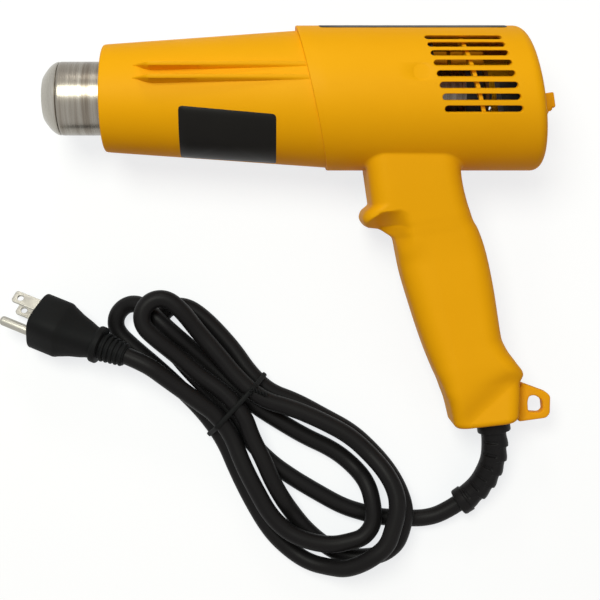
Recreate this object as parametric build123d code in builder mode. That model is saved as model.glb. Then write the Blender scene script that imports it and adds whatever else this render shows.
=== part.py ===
from build123d import *
import os
from math import acos, asin, atan, cos, degrees, pi, radians, sin, sqrt, tan

# Embossing heat tool, lying on its right flank with its cord tied in a hank.
# +Z is up and the floor is z = 0. The barrel runs along X with the nozzle towards -X.
# The tool's top leans a little off +Y, because barrel and butt both touch the floor.

os.makedirs("parts", exist_ok=True)

# Clearances and overruns
overrun = 3.0            # how far a cutting shape runs past what it cuts
loose_gap = 0.3          # between pieces that only pass each other
slip_gap = 0.15          # between pieces that are slid together
running_gap = 0.05       # radial, shaft in its bearing

# Barrel of the housing
body_radius = 34.3
body_wall = 2.6
body_length = 105.6      # seam with the front sleeve to the rear wall, on the axis
seam_slant = 12.7        # degrees, the seam's top leans forward
rear_slant = 9.1         # degrees, the rear wall's top leans forward
rear_round = 5.0

# Grip
butt_reach = 162.0       # barrel axis down to the end of the grip
butt_half = 17.0         # half the grip's thickness at its end
grip_lean = 8.4          # degrees, the grip's end lies further back than its root
grip_root = 47.0         # axis point of the grip's centre line, behind the seam
grip_length = 164.4      # along the leaning grip, from the barrel axis to the butt
grip_depth = 40.0        # front to back, what the shares below are taken of

# Sections down the grip: shares of grip_length, then front, back, half thickness and
# corner radius as shares of grip_depth. Front is negative.
neck_shares = (
    (0.091, -0.630, 0.470, 0.562, 0.225),
    (0.243, -0.637, 0.462, 0.525, 0.225),
    (0.288, -0.637, 0.475, 0.500, 0.225),
)
ledge_shares = (
    (0.288, -0.637, 0.475, 0.500, 0.225),
    (0.307, -0.737, 0.487, 0.500, 0.230),
    (0.325, -0.768, 0.500, 0.500, 0.240),
    (0.353, -0.715, 0.525, 0.470, 0.240),
    (0.363, -0.583, 0.533, 0.440, 0.235),
    (0.378, -0.497, 0.550, 0.420, 0.235),
    (0.401, -0.408, 0.590, 0.400, 0.235),
)
grip_shares = (
    (0.401, -0.408, 0.590, 0.400, 0.235),
    (0.487, -0.385, 0.665, 0.400, 0.250),
    (0.608, -0.312, 0.700, 0.400, 0.250),
    (0.730, -0.215, 0.710, 0.410, 0.240),
    (0.769, -0.175, 0.755, 0.418, 0.230),
)
flare_shares = (
    (0.769, -0.175, 0.755, 0.418, 0.230),
    (0.809, -0.130, 0.845, 0.425, 0.210),
    (0.850, -0.080, 0.950, 0.425, 0.190),
)
butt_shares = (
    (0.850, -0.080, 0.950, 0.425, 0.190),
    (0.880, -0.053, 0.888, 0.425, 0.180),
    (0.911, -0.023, 0.875, 0.425, 0.180),
    (1.000, 0.008, 0.792, 0.425, 0.175),
)

# Vents
vent_count = 8
vent_first_angle = -11.7  # degrees from the flank towards the top
vent_step_angle = 8.9
vent_length = 35.4
vent_width = 3.0
vent_place = 75.45        # behind the seam, on the axis
vent_slant = 13.6         # degrees, the higher slots sit further forward
web_width = 2.5
web_depth = 3.0

# Front sleeve
sleeve_length = 99.0
sleeve_front_radius = 25.5
seam_step = 1.9            # the sleeve is that much inside the housing at the seam
sleeve_wall = 2.2
sleeve_lip_round = 0.9
spigot_length = 6.0
fin_thickness = 2.5
fin_places = (7.75, 13.7)  # above the axis
fin_step = 0.9             # how far a fin's edge stays inside the housing's radius
fin_start = 16.6           # behind the sleeve's front
fin_ramp = 9.2
seat_ring_thickness = 1.6
seat_ring_height = 1.8

# Steel outlet
nozzle_reach = 28.8        # in front of the sleeve
nozzle_radius = 17.5
nozzle_wall = 0.8
nozzle_step = 0.3          # the tube is drawn in by this much inside the sleeve
nozzle_step_place = 4.0    # behind the sleeve's front
lip_length = 7.7
lip_wall = 1.2
lip_chamfer = 0.6
lip_spigot = 4.0
flange_place = 72.0        # behind the sleeve's front
flange_thickness = 2.0
flange_run = 1.4           # how far the tube runs on behind its flange
mica_inset = 6.8           # behind the mouth
mica_radius = 16.3
mica_wall = 0.7
mica_end = 9.0             # in front of the seam

# Heater
former_inset = 19.8        # behind the mouth
former_length = 80.0
former_half = 12.3
former_plate = 1.0
former_disc_radius = 14.6
former_disc = 1.6
ribbon_radius = 13.4
ribbon_size = 1.4
ribbon_turns = 6
ribbon_pitch = 10.5
ribbon_start = 5.0         # behind the former's front
cutout_radius = 5.0
cutout_length = 8.0
cutout_tab = 1.0
cutout_tab_reach = 4.0

# Air duct, fan and motor
duct_length = 36.0
duct_wall = 1.5
duct_step = 2.6            # how much wider than the fan the duct's rear is
duct_cuff = 4.0
duct_rim = 2.0
fan_gap = 4.0              # duct rim to fan
fan_post_gap = 1.4         # fan to the screw posts
fan_length = 14.0
fan_hub_radius = 8.0
fan_blades = 9
fan_pitch = 38.0           # degrees
fan_blade = 1.6
shaft_radius = 1.6
shaft_nose = 4.0           # in front of the fan
mount_gap = 2.0            # fan to motor mount
mount_length = 12.0
mount_ring = 1.6
mount_arms = 4
mount_arm = 3.0
mount_clamp = 2.2
can_radius = 14.0
can_length = 28.0
can_boss_radius = 5.0
can_boss = 1.6
endcap_length = 8.0
endcap_tab = 1.6
endcap_tab_reach = 4.0
board_gap = 0.8
board_radius = 15.0
board_thickness = 1.6
board_hole = 3.0
diode_radius = 1.4
diode_length = 5.0
diode_place = 9.0
rib_thickness = 1.5
rib_height = 2.1

# Switch
travel = 9.0
knob_proud = 10.7
knob_top = 1.4             # above the axis
knob_base = 14.0
knob_tip = 7.0
knob_width = 8.0
knob_round = 0.7
stem_length = 5.0
stem_width = 3.0
stem_grip = 4.0            # how far the stem runs into the switch
stem_room = 0.5            # left at each end of its travel
switch_length = 26.0
switch_width = 12.0
switch_depth = 12.0

# Hang loop at the butt: shares of loop_size from the butt's rear corner
loop_size = 20.0
loop_thickness = 6.0
loop_outline_shares = (
    (0.10, 0.24), (0.26, 0.24), (0.265, 0.055), (0.96, 0.155), (1.05, 0.26),
    (1.05, 0.70), (0.95, 0.80), (0.315, 1.035), (0.29, 0.89), (0.10, 0.89),
)
loop_hole_shares = (
    (0.49, 0.555), (0.525, 0.705), (0.67, 0.725), (0.845, 0.61),
    (0.875, 0.36), (0.80, 0.285), (0.515, 0.30),
)
loop_bar_shares = ((-0.01, 0.34), (0.10, 0.34), (0.10, 0.815), (-0.01, 0.815))
loop_bar_width = 11.0
loop_back = 97.7           # reference corner behind the seam
loop_reach = 21.0          # the loop's outer end behind that corner
loop_drop = 158.8          # below the axis

# Cord, relief and clamp
cord_diameter = 8.6
exit_back = 20.6           # cord's place at the butt, behind the grip's centre line
relief_radius = 6.65
relief_core_radius = 5.3
relief_neck_radius = 6.0
relief_collar_radius = 8.2
relief_collar = 3.6
relief_flange = 2.6
relief_segments = 6
relief_segment = 4.4
terminal_place = 66.4      # above the butt
terminal_length = 16.0
terminal_depth = 9.0
terminal_height = 12.0
terminal_back = 12.0
clamp_place = 24.0         # above the butt
clamp_width = 7.0
clamp_thickness = 2.6
clamp_post_radius = 2.6
clamp_post_spread = 7.8
clamp_screw_radius = 1.3
clamp_head_radius = 2.2
clamp_head = 1.6
clamp_screw_length = 9.0

# Housing screws, driven from the right half
post_radius = 4.0
screw_radius = 1.5
screw_reach = 8.0          # past the seam of the halves
screw_head_radius = 2.7
screw_head = 2.0
screw_seat = 9.0           # head's seat from the seam of the halves
screw_socket_radius = 3.0
post_front = 29.5          # behind the seam
post_rear_top = 93.5
post_rear_low = 92.0
neck_post = (36.0, -18.0)  # down the grip, behind its centre line
ledge_post = (62.0, 12.0)
butt_post = (149.0, 6.5)

# Plug
plug_length = 49.0         # face to the end of its ribbed tail
plug_size = 24.5
plug_round = 9.0
plug_front_share = 0.30    # full section up to here
plug_neck_share = 0.66
plug_neck_size = 17.0
plug_collar_radius = 9.4
plug_collar = 3.4
plug_tail_front = 7.4
plug_tail_end = 5.6
plug_rib = 1.5
plug_rib_count = 5
plug_rib_height = 1.1
blade_width = 6.35
blade_thickness = 1.5
blade_length = 17.5
blade_spread = 6.35
blade_offset = 4.5
blade_hole = 1.6
blade_hole_place = 4.4
ground_radius = 2.4
ground_length = 20.6
ground_offset = 7.4
pin_nose_share = 0.7
plug_roll = 28.0           # degrees

# Tie round the hank
tie_gap = 0.45
tie_thickness = 0.7
tie_width = 2.4
tie_twist_radius = 1.1
tie_twist_length = 8.0
twist_shares = ((0.93, 0.37, 1.0), (0.30, -0.95, 0.45))  # along, across, length

# Points of the cord, chosen by hand. The hank's are along it, across it, height, heading in
# degrees and slope; they are counted from the tie.
tie_point = (-31.7, -85.8)
hank_heading = -42.77
low = 4.42
tied_low = 5.6
tied_high = 14.5
hank_nodes = (
    (94.9, 9.5, low, -139.3, 0), (81.4, 1.6, low, -154, 0),
    (52, -7, low, -168, 0), (26.9, -9.8, 4.7, 178, 0.03), (0, -5.4, tied_low, 172, 0),
    # first upper fold
    (-28, -3.9, 5.0, 176, -0.02), (-48, -1.2, low, 172, 0), (-58.6, 9.4, low, 90, 0),
    (-48, 20.0, low, 8, 0), (-26, 19.8, 4.5, -6, 0.02), (0, 16, tied_low, -2, 0),
    # first big loop
    (28, 23.2, 4.6, 14, 0), (60, 29.3, 5.2, 0, 0.10), (84, 26, 10.8, -18, 0.16),
    (100.5, 14.5, 13.8, -58, 0), (105.5, -1, 10.8, -98, -0.25), (97, -16, 4.8, -138, -0.10),
    (82, -22, 4.4, -172, 0), (62, -21.8, 6.2, 170, 0.18), (44, -17.2, 12.6, 162, 0.14),
    (22, -8.4, 14.6, 160, 0.02), (0, 0, 15.1, 173, 0),
    # second upper fold
    (-33, -1.5, 16.6, 180, 0.13), (-57, -2.2, 21.7, 180, 0.1), (-66.5, 7.2, 22.6, 90, 0),
    (-57, 16.6, 21.7, 0, -0.1), (-33, 13.6, 15.4, -6, -0.05), (0, 10.7, tied_high, 2, 0),
    # second big loop
    (28, 20.5, 13.8, 20, 0), (60, 27.6, 14.9, 0, 0.08), (82, 24.5, 20.6, -20, 0.2),
    (95, 13, 22.8, -62, 0), (100.5, -4, 22.2, -96, -0.12), (96.5, -19.5, 17.2, -116, -0.38),
    (86, -30.5, 9.2, -146, -0.36), (66, -36, 4.5, -180, -0.02), (30, -27.4, 4.4, 159, 0),
    (0, -16, tied_low, 168, 0),
    # third upper fold
    (-33, -13.6, 4.5, 180, 0), (-66, -14.4, 4.5, 180, 0.02), (-75.5, -4.9, 6.6, 90, 0.16),
    (-66, 4.6, 11.8, 0, 0.28), (-56, 5.0, 14.2, 0, 0), (-28, 5.2, 6.7, 0, -0.18),
    (0, 5.4, tied_low, 2, 0),
    # third big loop, and the plug's lead
    (28, 9.6, 4.6, 12, 0), (60, 17.0, 5.2, 4, 0.12), (80, 12.6, 13.0, -34, 0.18),
    (91, -1.5, 14.0, -84, 0), (85.5, -14.5, 13.8, -126, 0), (72, -25.2, 13.8, -154, 0),
    (56, -29.0, 13.2, -182, 0), (30, -22.2, 14.0, 160, 0.02), (0, -10.9, tied_high, 170, 0.12),
    (-20, -11.6, 18.2, 186, 0.18),
)
strand_places = (
    (-5.4, tied_low), (16, tied_low), (-16, tied_low), (5.4, tied_low),
    (0, 15.1), (10.7, tied_high), (-10.9, tied_high),
)
relief_route = (
    (96.9, -111.5, 14.9), (94.7, -118.8, 12.7), (91.2, -125.8, 10.4), (86.0, -131.4, 8.3),
    (79.6, -136.05, 7.1),
)
lead_route = ((68.6, -142.4, 5.3),)
lead_run = 8.0             # straight before each face where two lengths meet
plug_lead_run = 11.0       # straight before the plug's tail
plug_face = (-130.88, -42.99, 13.6)
plug_tail = (-86.1, -60.46, 21.2)

# Frames worked out from the sizes above
tip_to_loop = nozzle_reach + sleeve_length + loop_back + loop_reach
tip_x = -tip_to_loop / 2
sleeve_front = tip_x + nozzle_reach
seam_x = sleeve_front + sleeve_length
rear_x = seam_x + body_length
roll = asin(body_radius / sqrt(butt_half**2 + butt_reach**2)) - atan(butt_half / butt_reach)
axis_y = (butt_reach - body_radius) / 2
axis_z = body_radius
ahead = Vector(1, 0, 0)
top = Vector(0, cos(roll), sin(roll))
flank = Vector(0, -sin(roll), cos(roll))
middle = Plane(origin=(0, axis_y, axis_z), x_dir=ahead, z_dir=flank)
barrel_axis = Axis((0, axis_y, axis_z), (1, 0, 0))


def tool_point(x, v, w):
    """Point at x along the barrel, v towards the tool's top and w towards its left flank."""
    return Vector(x, axis_y, axis_z) + top * v + flank * w


def cross_plane(x):
    """Plane across the barrel: local X is the tool's top, local Y its left flank."""
    return Plane(origin=tool_point(x, 0, 0), x_dir=top, z_dir=ahead)


def slanted_plane(x, slant):
    """Plane across the barrel whose top leans forward; local X runs up it, Z backward."""
    back = ahead * cos(radians(slant)) + top * sin(radians(slant))
    along = top * cos(radians(slant)) - ahead * sin(radians(slant))
    return Plane(origin=tool_point(x, 0, 0), x_dir=along, z_dir=back)


down_grip = ahead * sin(radians(grip_lean)) - top * cos(radians(grip_lean))
back_grip = ahead * cos(radians(grip_lean)) + top * sin(radians(grip_lean))
grip_x = seam_x + grip_root


def grip_point(t, e, w=0):
    """Point t down the grip, e behind its centre line and w towards the left flank."""
    return tool_point(grip_x, 0, 0) + down_grip * t + back_grip * e + flank * w


def grip_plane(t, e=0, w=0):
    """Plane across the grip: local X points back, local Y to the left flank."""
    return Plane(origin=grip_point(t, e, w), x_dir=back_grip, z_dir=down_grip)


def flank_plane(x, v, w):
    """Plane parallel to the middle, local X along the barrel."""
    return Plane(origin=tool_point(x, v, w), x_dir=ahead, z_dir=flank)


seam_plane = slanted_plane(seam_x, seam_slant)
rear_plane = slanted_plane(rear_x, rear_slant)


def ring_profile(x_front, x_back, radius, wall):
    """Face in the middle plane that turns into a plain tube."""
    with BuildSketch(middle) as profile:
        with Locations(((x_front + x_back) / 2, radius - wall / 2)):
            Rectangle(x_back - x_front, wall)
    return profile.sketch


def grip_section(share, inset, lift):
    """Rounded section across the grip, drawn in by inset and moved up by lift."""
    place, front, back, half, corner = share
    front_edge = front * grip_depth + inset
    back_edge = back * grip_depth - inset
    half_edge = half * grip_depth - inset
    with BuildSketch(grip_plane(place * grip_length - lift)) as section:
        with Locations(((front_edge + back_edge) / 2, 0)):
            RectangleRounded(back_edge - front_edge, 2 * half_edge, corner * grip_depth - inset / 2)
    return section.sketch


def handle(inset):
    """Neck, finger ledge, grip and flared end as one body, drawn in by inset."""
    with BuildPart() as body:
        loft(sections=[grip_section(share, inset, 0) for share in neck_shares])
        loft(sections=[grip_section(share, inset, 0) for share in ledge_shares], ruled=True)
        loft(sections=[grip_section(share, inset, 0) for share in grip_shares])
        loft(sections=[grip_section(share, inset, 0) for share in flare_shares])
        lifts = [0] * (len(butt_shares) - 1) + [inset]
        sections = [grip_section(share, inset, lift) for share, lift in zip(butt_shares, lifts)]
        loft(sections=sections, ruled=True)
    return body.part


# Barrel, handle and the hollow inside them
barrel_front = seam_x - body_radius * tan(radians(seam_slant)) - overrun
barrel_back = rear_x + body_radius * tan(radians(rear_slant)) + overrun
inner_radius = body_radius - body_wall

with BuildPart() as outer_shape:
    with BuildSketch(cross_plane(barrel_front)):
        Circle(body_radius)
    extrude(amount=barrel_back - barrel_front)
    split(bisect_by=rear_plane, keep=Keep.BOTTOM)
    fillet(faces().sort_by(Axis.X)[-1].edges(), radius=rear_round)
    add(handle(0))
    split(bisect_by=seam_plane, keep=Keep.TOP)

with BuildPart() as hollow:
    with BuildSketch(cross_plane(barrel_front)):
        Circle(inner_radius)
    extrude(amount=barrel_back - barrel_front)
    split(bisect_by=rear_plane.offset(-body_wall), keep=Keep.BOTTOM)
    add(handle(body_wall))


def vent_angles():
    """Angles of the slots from the flank towards the top."""
    return [vent_first_angle + vent_step_angle * k for k in range(vent_count)]


def vent_plane(angle, way, radius):
    """Plane facing out of one slot; way is 1 on the left flank and -1 on the right."""
    outward = flank * (way * cos(radians(angle))) + top * sin(radians(angle))
    height = body_radius * sin(radians(angle))
    x = seam_x + vent_place - height * tan(radians(vent_slant))
    origin = tool_point(x, 0, 0) + outward * radius
    return Plane(origin=origin, x_dir=ahead, z_dir=outward)


# Places of the screws: along the barrel and above the axis
def grip_place(pair):
    """Barrel coordinates of a place given down the grip and behind its centre line."""
    offset = grip_point(pair[0], pair[1]) - tool_point(0, 0, 0)
    return (offset.X, offset.dot(top))


post_height = inner_radius - post_radius - loose_gap
post_places = [
    (seam_x + post_front, post_height),
    (seam_x + post_rear_top, post_height),
    (seam_x + post_rear_low, -post_height),
    grip_place(neck_post),
    grip_place(ledge_post),
    grip_place(butt_post),
]

with BuildPart() as posts:
    with BuildSketch(middle):
        with Locations(*post_places):
            Circle(post_radius)
    extrude(amount=body_radius, both=True)
    add(outer_shape.part, mode=Mode.INTERSECT)

# Stations along the barrel
flange_x = sleeve_front + flange_place
mica_back = seam_x - mica_end
duct_front = mica_back - duct_cuff
duct_back = duct_front + duct_length
fan_radius = post_height - post_radius - fan_post_gap
duct_rear_radius = fan_radius + duct_step
fan_front = duct_back + fan_gap
fan_back = fan_front + fan_length
mount_front = fan_back + mount_gap
mount_back = mount_front + mount_length
can_front = mount_front + can_boss
can_back = can_front + can_length
endcap_back = can_back + endcap_length
board_front = endcap_back + board_gap
former_front = tip_x + former_inset
former_back = former_front + former_length

# Switch knob's places on the rear wall, measured up the wall
stem_place = knob_top - knob_base / 2
slot_length = stem_length + travel + 2 * stem_room
slot_place = stem_place + travel / 2

# Hang loop's places
loop_x = seam_x + loop_back


def loop_points(shares):
    """Outline points of the loop in the middle plane."""
    return [(loop_x + a * loop_size, b * loop_size - loop_drop) for a, b in shares]


clamp_t = grip_length - clamp_place
clamp_spots = (
    grip_place((clamp_t, exit_back - clamp_post_spread)),
    grip_place((clamp_t, exit_back + clamp_post_spread)),
)

with BuildPart() as slots:
    for way in (1, -1):
        for angle in vent_angles():
            with BuildSketch(vent_plane(angle, way, inner_radius - overrun / 2)) as slot:
                SlotOverall(vent_length, vent_width)
            extrude(slot.sketch, amount=body_wall + overrun)

with BuildPart() as webs:
    for way in (1, -1):
        for angle in vent_angles():
            with BuildSketch(vent_plane(angle, way, inner_radius - web_depth)) as web:
                Rectangle(web_width, vent_width + 2 * body_wall)
            extrude(web.sketch, amount=web_depth + slip_gap)

with BuildPart() as housing:
    add(outer_shape.part)
    add(hollow.part, mode=Mode.SUBTRACT)
    add(posts.part)
    # ribs on both sides of the motor mount
    for x in (mount_front - slip_gap - rib_thickness, mount_back + slip_gap):
        rib_radius = inner_radius + body_wall / 2
        profile = ring_profile(x, x + rib_thickness, rib_radius, rib_height + body_wall / 2)
        revolve(profile, axis=barrel_axis)
    # vents and the web that crosses behind them
    add(slots.part, mode=Mode.SUBTRACT)
    add(webs.part)
    # slot for the switch's stem
    with BuildSketch(rear_plane.offset(-body_wall - overrun)) as stem_slot:
        with Locations((slot_place, 0)):
            Rectangle(slot_length, stem_width + 2 * loose_gap)
    extrude(stem_slot.sketch, amount=body_wall + 2 * overrun, mode=Mode.SUBTRACT)
    # opening for the hang loop
    with BuildSketch(middle) as loop_slot:
        with BuildLine():
            Polyline(*loop_points(loop_outline_shares), close=True)
        make_face()
    extrude(loop_slot.sketch, amount=loop_thickness / 2 + slip_gap / 2, both=True, mode=Mode.SUBTRACT)
    # hole for the cord relief
    with BuildSketch(grip_plane(grip_length + overrun, exit_back)) as relief_hole:
        Circle(relief_neck_radius + slip_gap)
    extrude(relief_hole.sketch, amount=-body_wall - 2 * overrun, mode=Mode.SUBTRACT)

with BuildPart() as housing_left:
    add(housing.part)
    split(bisect_by=middle, keep=Keep.TOP)
    with BuildSketch(middle.offset(-overrun)) as pilots:
        with Locations(*post_places):
            Circle(screw_radius)
    extrude(pilots.sketch, amount=overrun + screw_reach + screw_radius, mode=Mode.SUBTRACT)

with BuildPart() as housing_right:
    add(housing.part)
    split(bisect_by=middle, keep=Keep.BOTTOM)
    with BuildSketch(middle.offset(overrun)) as clear_holes:
        with Locations(*post_places):
            Circle(screw_radius + slip_gap)
    extrude(clear_holes.sketch, amount=-body_radius, mode=Mode.SUBTRACT)
    with BuildSketch(middle.offset(-screw_seat)) as sockets:
        with Locations(*post_places):
            Circle(screw_socket_radius)
    extrude(sockets.sketch, amount=-body_radius, mode=Mode.SUBTRACT)
    # posts that carry the cord clamp
    with BuildSketch(middle) as clamp_posts:
        with Locations(*clamp_spots):
            Circle(clamp_post_radius)
    extrude(clamp_posts.sketch, amount=-butt_half + body_wall / 2)
    with BuildSketch(middle) as clamp_pilots:
        with Locations(*clamp_spots):
            Circle(clamp_screw_radius)
    extrude(clamp_pilots.sketch, amount=-clamp_screw_length, mode=Mode.SUBTRACT)

with BuildPart() as housing_screws:
    with BuildSketch(middle.offset(screw_reach)) as shanks:
        with Locations(*post_places):
            Circle(screw_radius)
    extrude(shanks.sketch, amount=-screw_reach - screw_seat)
    with BuildSketch(middle.offset(-screw_seat)) as heads:
        with Locations(*post_places):
            Circle(screw_head_radius)
    extrude(heads.sketch, amount=-screw_head)


# Front sleeve
sleeve_rear_radius = body_radius - seam_step
fin_reach = body_radius - fin_step


def sleeve_radius(x):
    """Outside radius of the tapered sleeve at x."""
    share = (x - sleeve_front) / sleeve_length
    return sleeve_front_radius + (sleeve_rear_radius - sleeve_front_radius) * share


spigot_radius = inner_radius - loose_gap
spigot_back = seam_x + spigot_length + body_radius * tan(radians(seam_slant))
sleeve_over = seam_x + body_radius * tan(radians(seam_slant)) + overrun

with BuildPart() as beyond_seam:
    beyond_radius = body_radius + overrun
    profile = ring_profile(barrel_front, spigot_back + overrun, beyond_radius, beyond_radius - spigot_radius)
    revolve(profile, axis=barrel_axis)
    split(bisect_by=seam_plane, keep=Keep.TOP)

with BuildPart() as front_sleeve:
    with BuildSketch(middle) as sleeve_profile:
        with BuildLine():
            Polyline(
                (sleeve_front, 0),
                (sleeve_front, sleeve_front_radius),
                (seam_x, sleeve_rear_radius),
                (spigot_back, sleeve_radius(spigot_back)),
                (spigot_back, 0),
                close=True,
            )
        make_face()
    revolve(sleeve_profile.sketch, axis=barrel_axis)
    split(bisect_by=seam_plane.offset(spigot_length), keep=Keep.BOTTOM)
    fillet(faces().sort_by(Axis.X)[0].edges(), radius=sleeve_lip_round)
    # two fins on each flank
    fin_tip = sleeve_front + fin_start
    for height in fin_places:
        fin_plane = Plane(origin=tool_point(0, height, 0), x_dir=ahead, z_dir=-top)
        fin_edge = sqrt(fin_reach**2 - height**2)
        fin_foot = sqrt(sleeve_radius(fin_tip) ** 2 - height**2)
        for way in (1, -1):
            with BuildSketch(fin_plane) as fin:
                with BuildLine():
                    Polyline(
                        (fin_tip, way * (fin_foot - sleeve_wall / 2)),
                        (fin_tip, way * fin_foot),
                        (fin_tip + fin_ramp, way * fin_edge),
                        (sleeve_over, way * fin_edge),
                        (sleeve_over, way * (fin_foot - sleeve_wall / 2)),
                        close=True,
                    )
                make_face()
            extrude(fin.sketch, amount=fin_thickness / 2, both=True)
    add(beyond_seam.part, mode=Mode.SUBTRACT)
    with BuildSketch(middle) as sleeve_hollow:
        with BuildLine():
            Polyline(
                (sleeve_front - overrun, 0),
                (sleeve_front - overrun, sleeve_front_radius - sleeve_wall),
                (sleeve_front, sleeve_front_radius - sleeve_wall),
                (seam_x - spigot_length, sleeve_radius(seam_x - 2 * spigot_length) - sleeve_wall),
                (seam_x, spigot_radius - sleeve_wall),
                (spigot_back + overrun, spigot_radius - sleeve_wall),
                (spigot_back + overrun, 0),
                close=True,
            )
        make_face()
    revolve(sleeve_hollow.sketch, axis=barrel_axis, mode=Mode.SUBTRACT)
    # ring that the nozzle's flange sits against
    seat_outer = sleeve_radius(flange_x) - sleeve_wall / 2
    seat_height = seat_ring_height + sleeve_wall / 2
    revolve(ring_profile(flange_x - seat_ring_thickness, flange_x, seat_outer, seat_height), axis=barrel_axis)

# Steel outlet
flange_radius = sleeve_radius(flange_x) - sleeve_wall - slip_gap - seat_ring_height / 3
step_x = sleeve_front + nozzle_step_place
tube_back = flange_x + flange_thickness + flange_run
tube_inner = nozzle_radius - nozzle_wall

with BuildPart() as nozzle_tube:
    with BuildSketch(middle) as tube_profile:
        with BuildLine():
            Polyline(
                (tip_x + lip_length, tube_inner),
                (tip_x + lip_length, nozzle_radius),
                (step_x, nozzle_radius),
                (step_x + nozzle_step, nozzle_radius - nozzle_step),
                (tube_back, nozzle_radius - nozzle_step),
                (tube_back, tube_inner),
                close=True,
            )
        make_face()
    revolve(tube_profile.sketch, axis=barrel_axis)

with BuildPart() as nozzle_lip:
    with BuildSketch(middle) as lip_profile:
        with BuildLine():
            Polyline(
                (tip_x, nozzle_radius - lip_wall),
                (tip_x, nozzle_radius - nozzle_step),
                (tip_x + nozzle_step, nozzle_radius),
                (tip_x + lip_length - lip_chamfer, nozzle_radius),
                (tip_x + lip_length, nozzle_radius - lip_chamfer),
                (tip_x + lip_length, tube_inner),
                (tip_x + lip_length + lip_spigot, tube_inner),
                (tip_x + lip_length + lip_spigot, nozzle_radius - lip_wall),
                close=True,
            )
        make_face()
    revolve(lip_profile.sketch, axis=barrel_axis)

with BuildPart() as nozzle_flange:
    with BuildSketch(cross_plane(flange_x)):
        Circle(flange_radius)
        Circle(nozzle_radius - nozzle_step, mode=Mode.SUBTRACT)
    extrude(amount=flange_thickness)

mica_front = tip_x + lip_length + lip_spigot + slip_gap

with BuildPart() as insulation_tube:
    revolve(ring_profile(mica_front, mica_back, mica_radius, mica_wall), axis=barrel_axis)

# Heater: two crossed plates with a wound ribbon, a disc and a thermal cut-out
with BuildPart() as heater_former:
    with BuildSketch(cross_plane(former_front)) as cross:
        Rectangle(2 * former_half, former_plate)
        Rectangle(former_plate, 2 * former_half)
    extrude(cross.sketch, amount=former_length)
    with BuildSketch(cross_plane(former_back)) as disc:
        Circle(former_disc_radius)
        with PolarLocations(former_half * 0.5 ** 0.5, mount_arms, start_angle=degrees(pi / mount_arms)):
            Circle(former_half / mount_arms, mode=Mode.SUBTRACT)
    extrude(disc.sketch, amount=former_disc)


def blend_arcs(points, headings):
    """Two tangent arcs between each pair of points: (start, corner, end) of every arc."""
    arcs = []
    for p0, t0, p1, t1 in zip(points, headings, points[1:], headings[1:]):
        v = p1 - p0
        both = t0 + t1
        spread = 2 * (1 - t0.dot(t1))
        along = v.dot(both)
        if spread < 1e-9:
            reach = v.dot(v) / (4 * v.dot(t1))
        else:
            reach = (-along + sqrt(along * along + spread * v.dot(v))) / spread
        q0 = p0 + t0 * reach
        q1 = p1 - t1 * reach
        join = (q0 + q1) / 2
        arcs.append((p0, q0, join))
        arcs.append((join, q1, p1))
    return arcs


def arc_turn(arc):
    """Turn in radians, radius and middle point of an arc given by start, corner and end."""
    start, corner, end = arc
    a = (start - corner).normalized()
    b = (end - corner).normalized()
    inside = acos(max(-1, min(1, a.dot(b))))
    reach = (start - corner).length
    radius = reach * tan(inside / 2)
    centre_way = (a + b).normalized()
    through = corner + centre_way * (reach / cos(inside / 2) - radius)
    return pi - inside, radius, through


def arc_path(arcs):
    """Edges of a chain of arcs, straight where the turn is too small to see."""
    least_turn = 0.002
    with BuildLine() as path:
        for arc in arcs:
            turn, radius, through = arc_turn(arc)
            if turn < least_turn:
                Line(arc[0], arc[2])
            else:
                ThreePointArc(arc[0], through, arc[2])
    return path.wire()


quarters = ribbon_turns * 4
ribbon_points = []
ribbon_headings = []
for k in range(quarters + 1):
    angle = k * pi / 2
    outward = top * cos(angle) + flank * sin(angle)
    onward = flank * cos(angle) - top * sin(angle)
    x = former_front + ribbon_start + ribbon_pitch * k / 4
    ribbon_points.append(tool_point(x, 0, 0) + outward * ribbon_radius)
    ribbon_headings.append((onward * (2 * pi * ribbon_radius) + ahead * ribbon_pitch).normalized())

ribbon_path = arc_path(blend_arcs(ribbon_points, ribbon_headings))
with BuildPart() as heating_ribbon:
    with BuildSketch(Plane(origin=ribbon_points[0], x_dir=top, z_dir=ribbon_headings[0])) as wire:
        Rectangle(ribbon_size, ribbon_size)
    sweep(wire.sketch, path=ribbon_path)

with BuildPart() as thermal_cutout:
    with BuildSketch(cross_plane(former_back + former_disc)):
        Circle(cutout_radius)
    extrude(amount=cutout_length)
    with BuildSketch(cross_plane(former_back + former_disc + cutout_length)):
        with Locations((cutout_radius / 2, 0), (-cutout_radius / 2, 0)):
            Rectangle(cutout_tab, cutout_tab * 3)
    extrude(amount=cutout_tab_reach)

# Air duct from the fan to the heater
cuff_inner = mica_radius + slip_gap
rim_radius = inner_radius - loose_gap
with BuildPart() as fan_duct:
    with BuildSketch(middle) as duct_profile:
        with BuildLine():
            Polyline(
                (duct_front, cuff_inner),
                (duct_front, cuff_inner + duct_wall),
                (duct_front + duct_cuff, cuff_inner + duct_wall),
                (duct_back - duct_rim - duct_cuff, duct_rear_radius),
                (duct_back - duct_rim, duct_rear_radius),
                (duct_back - duct_rim, rim_radius),
                (duct_back, rim_radius),
                (duct_back, duct_rear_radius - duct_wall),
                (duct_back - duct_cuff, duct_rear_radius - duct_wall),
                (duct_front + duct_cuff, cuff_inner),
                close=True,
            )
        make_face()
    revolve(duct_profile.sketch, axis=barrel_axis)

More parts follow.
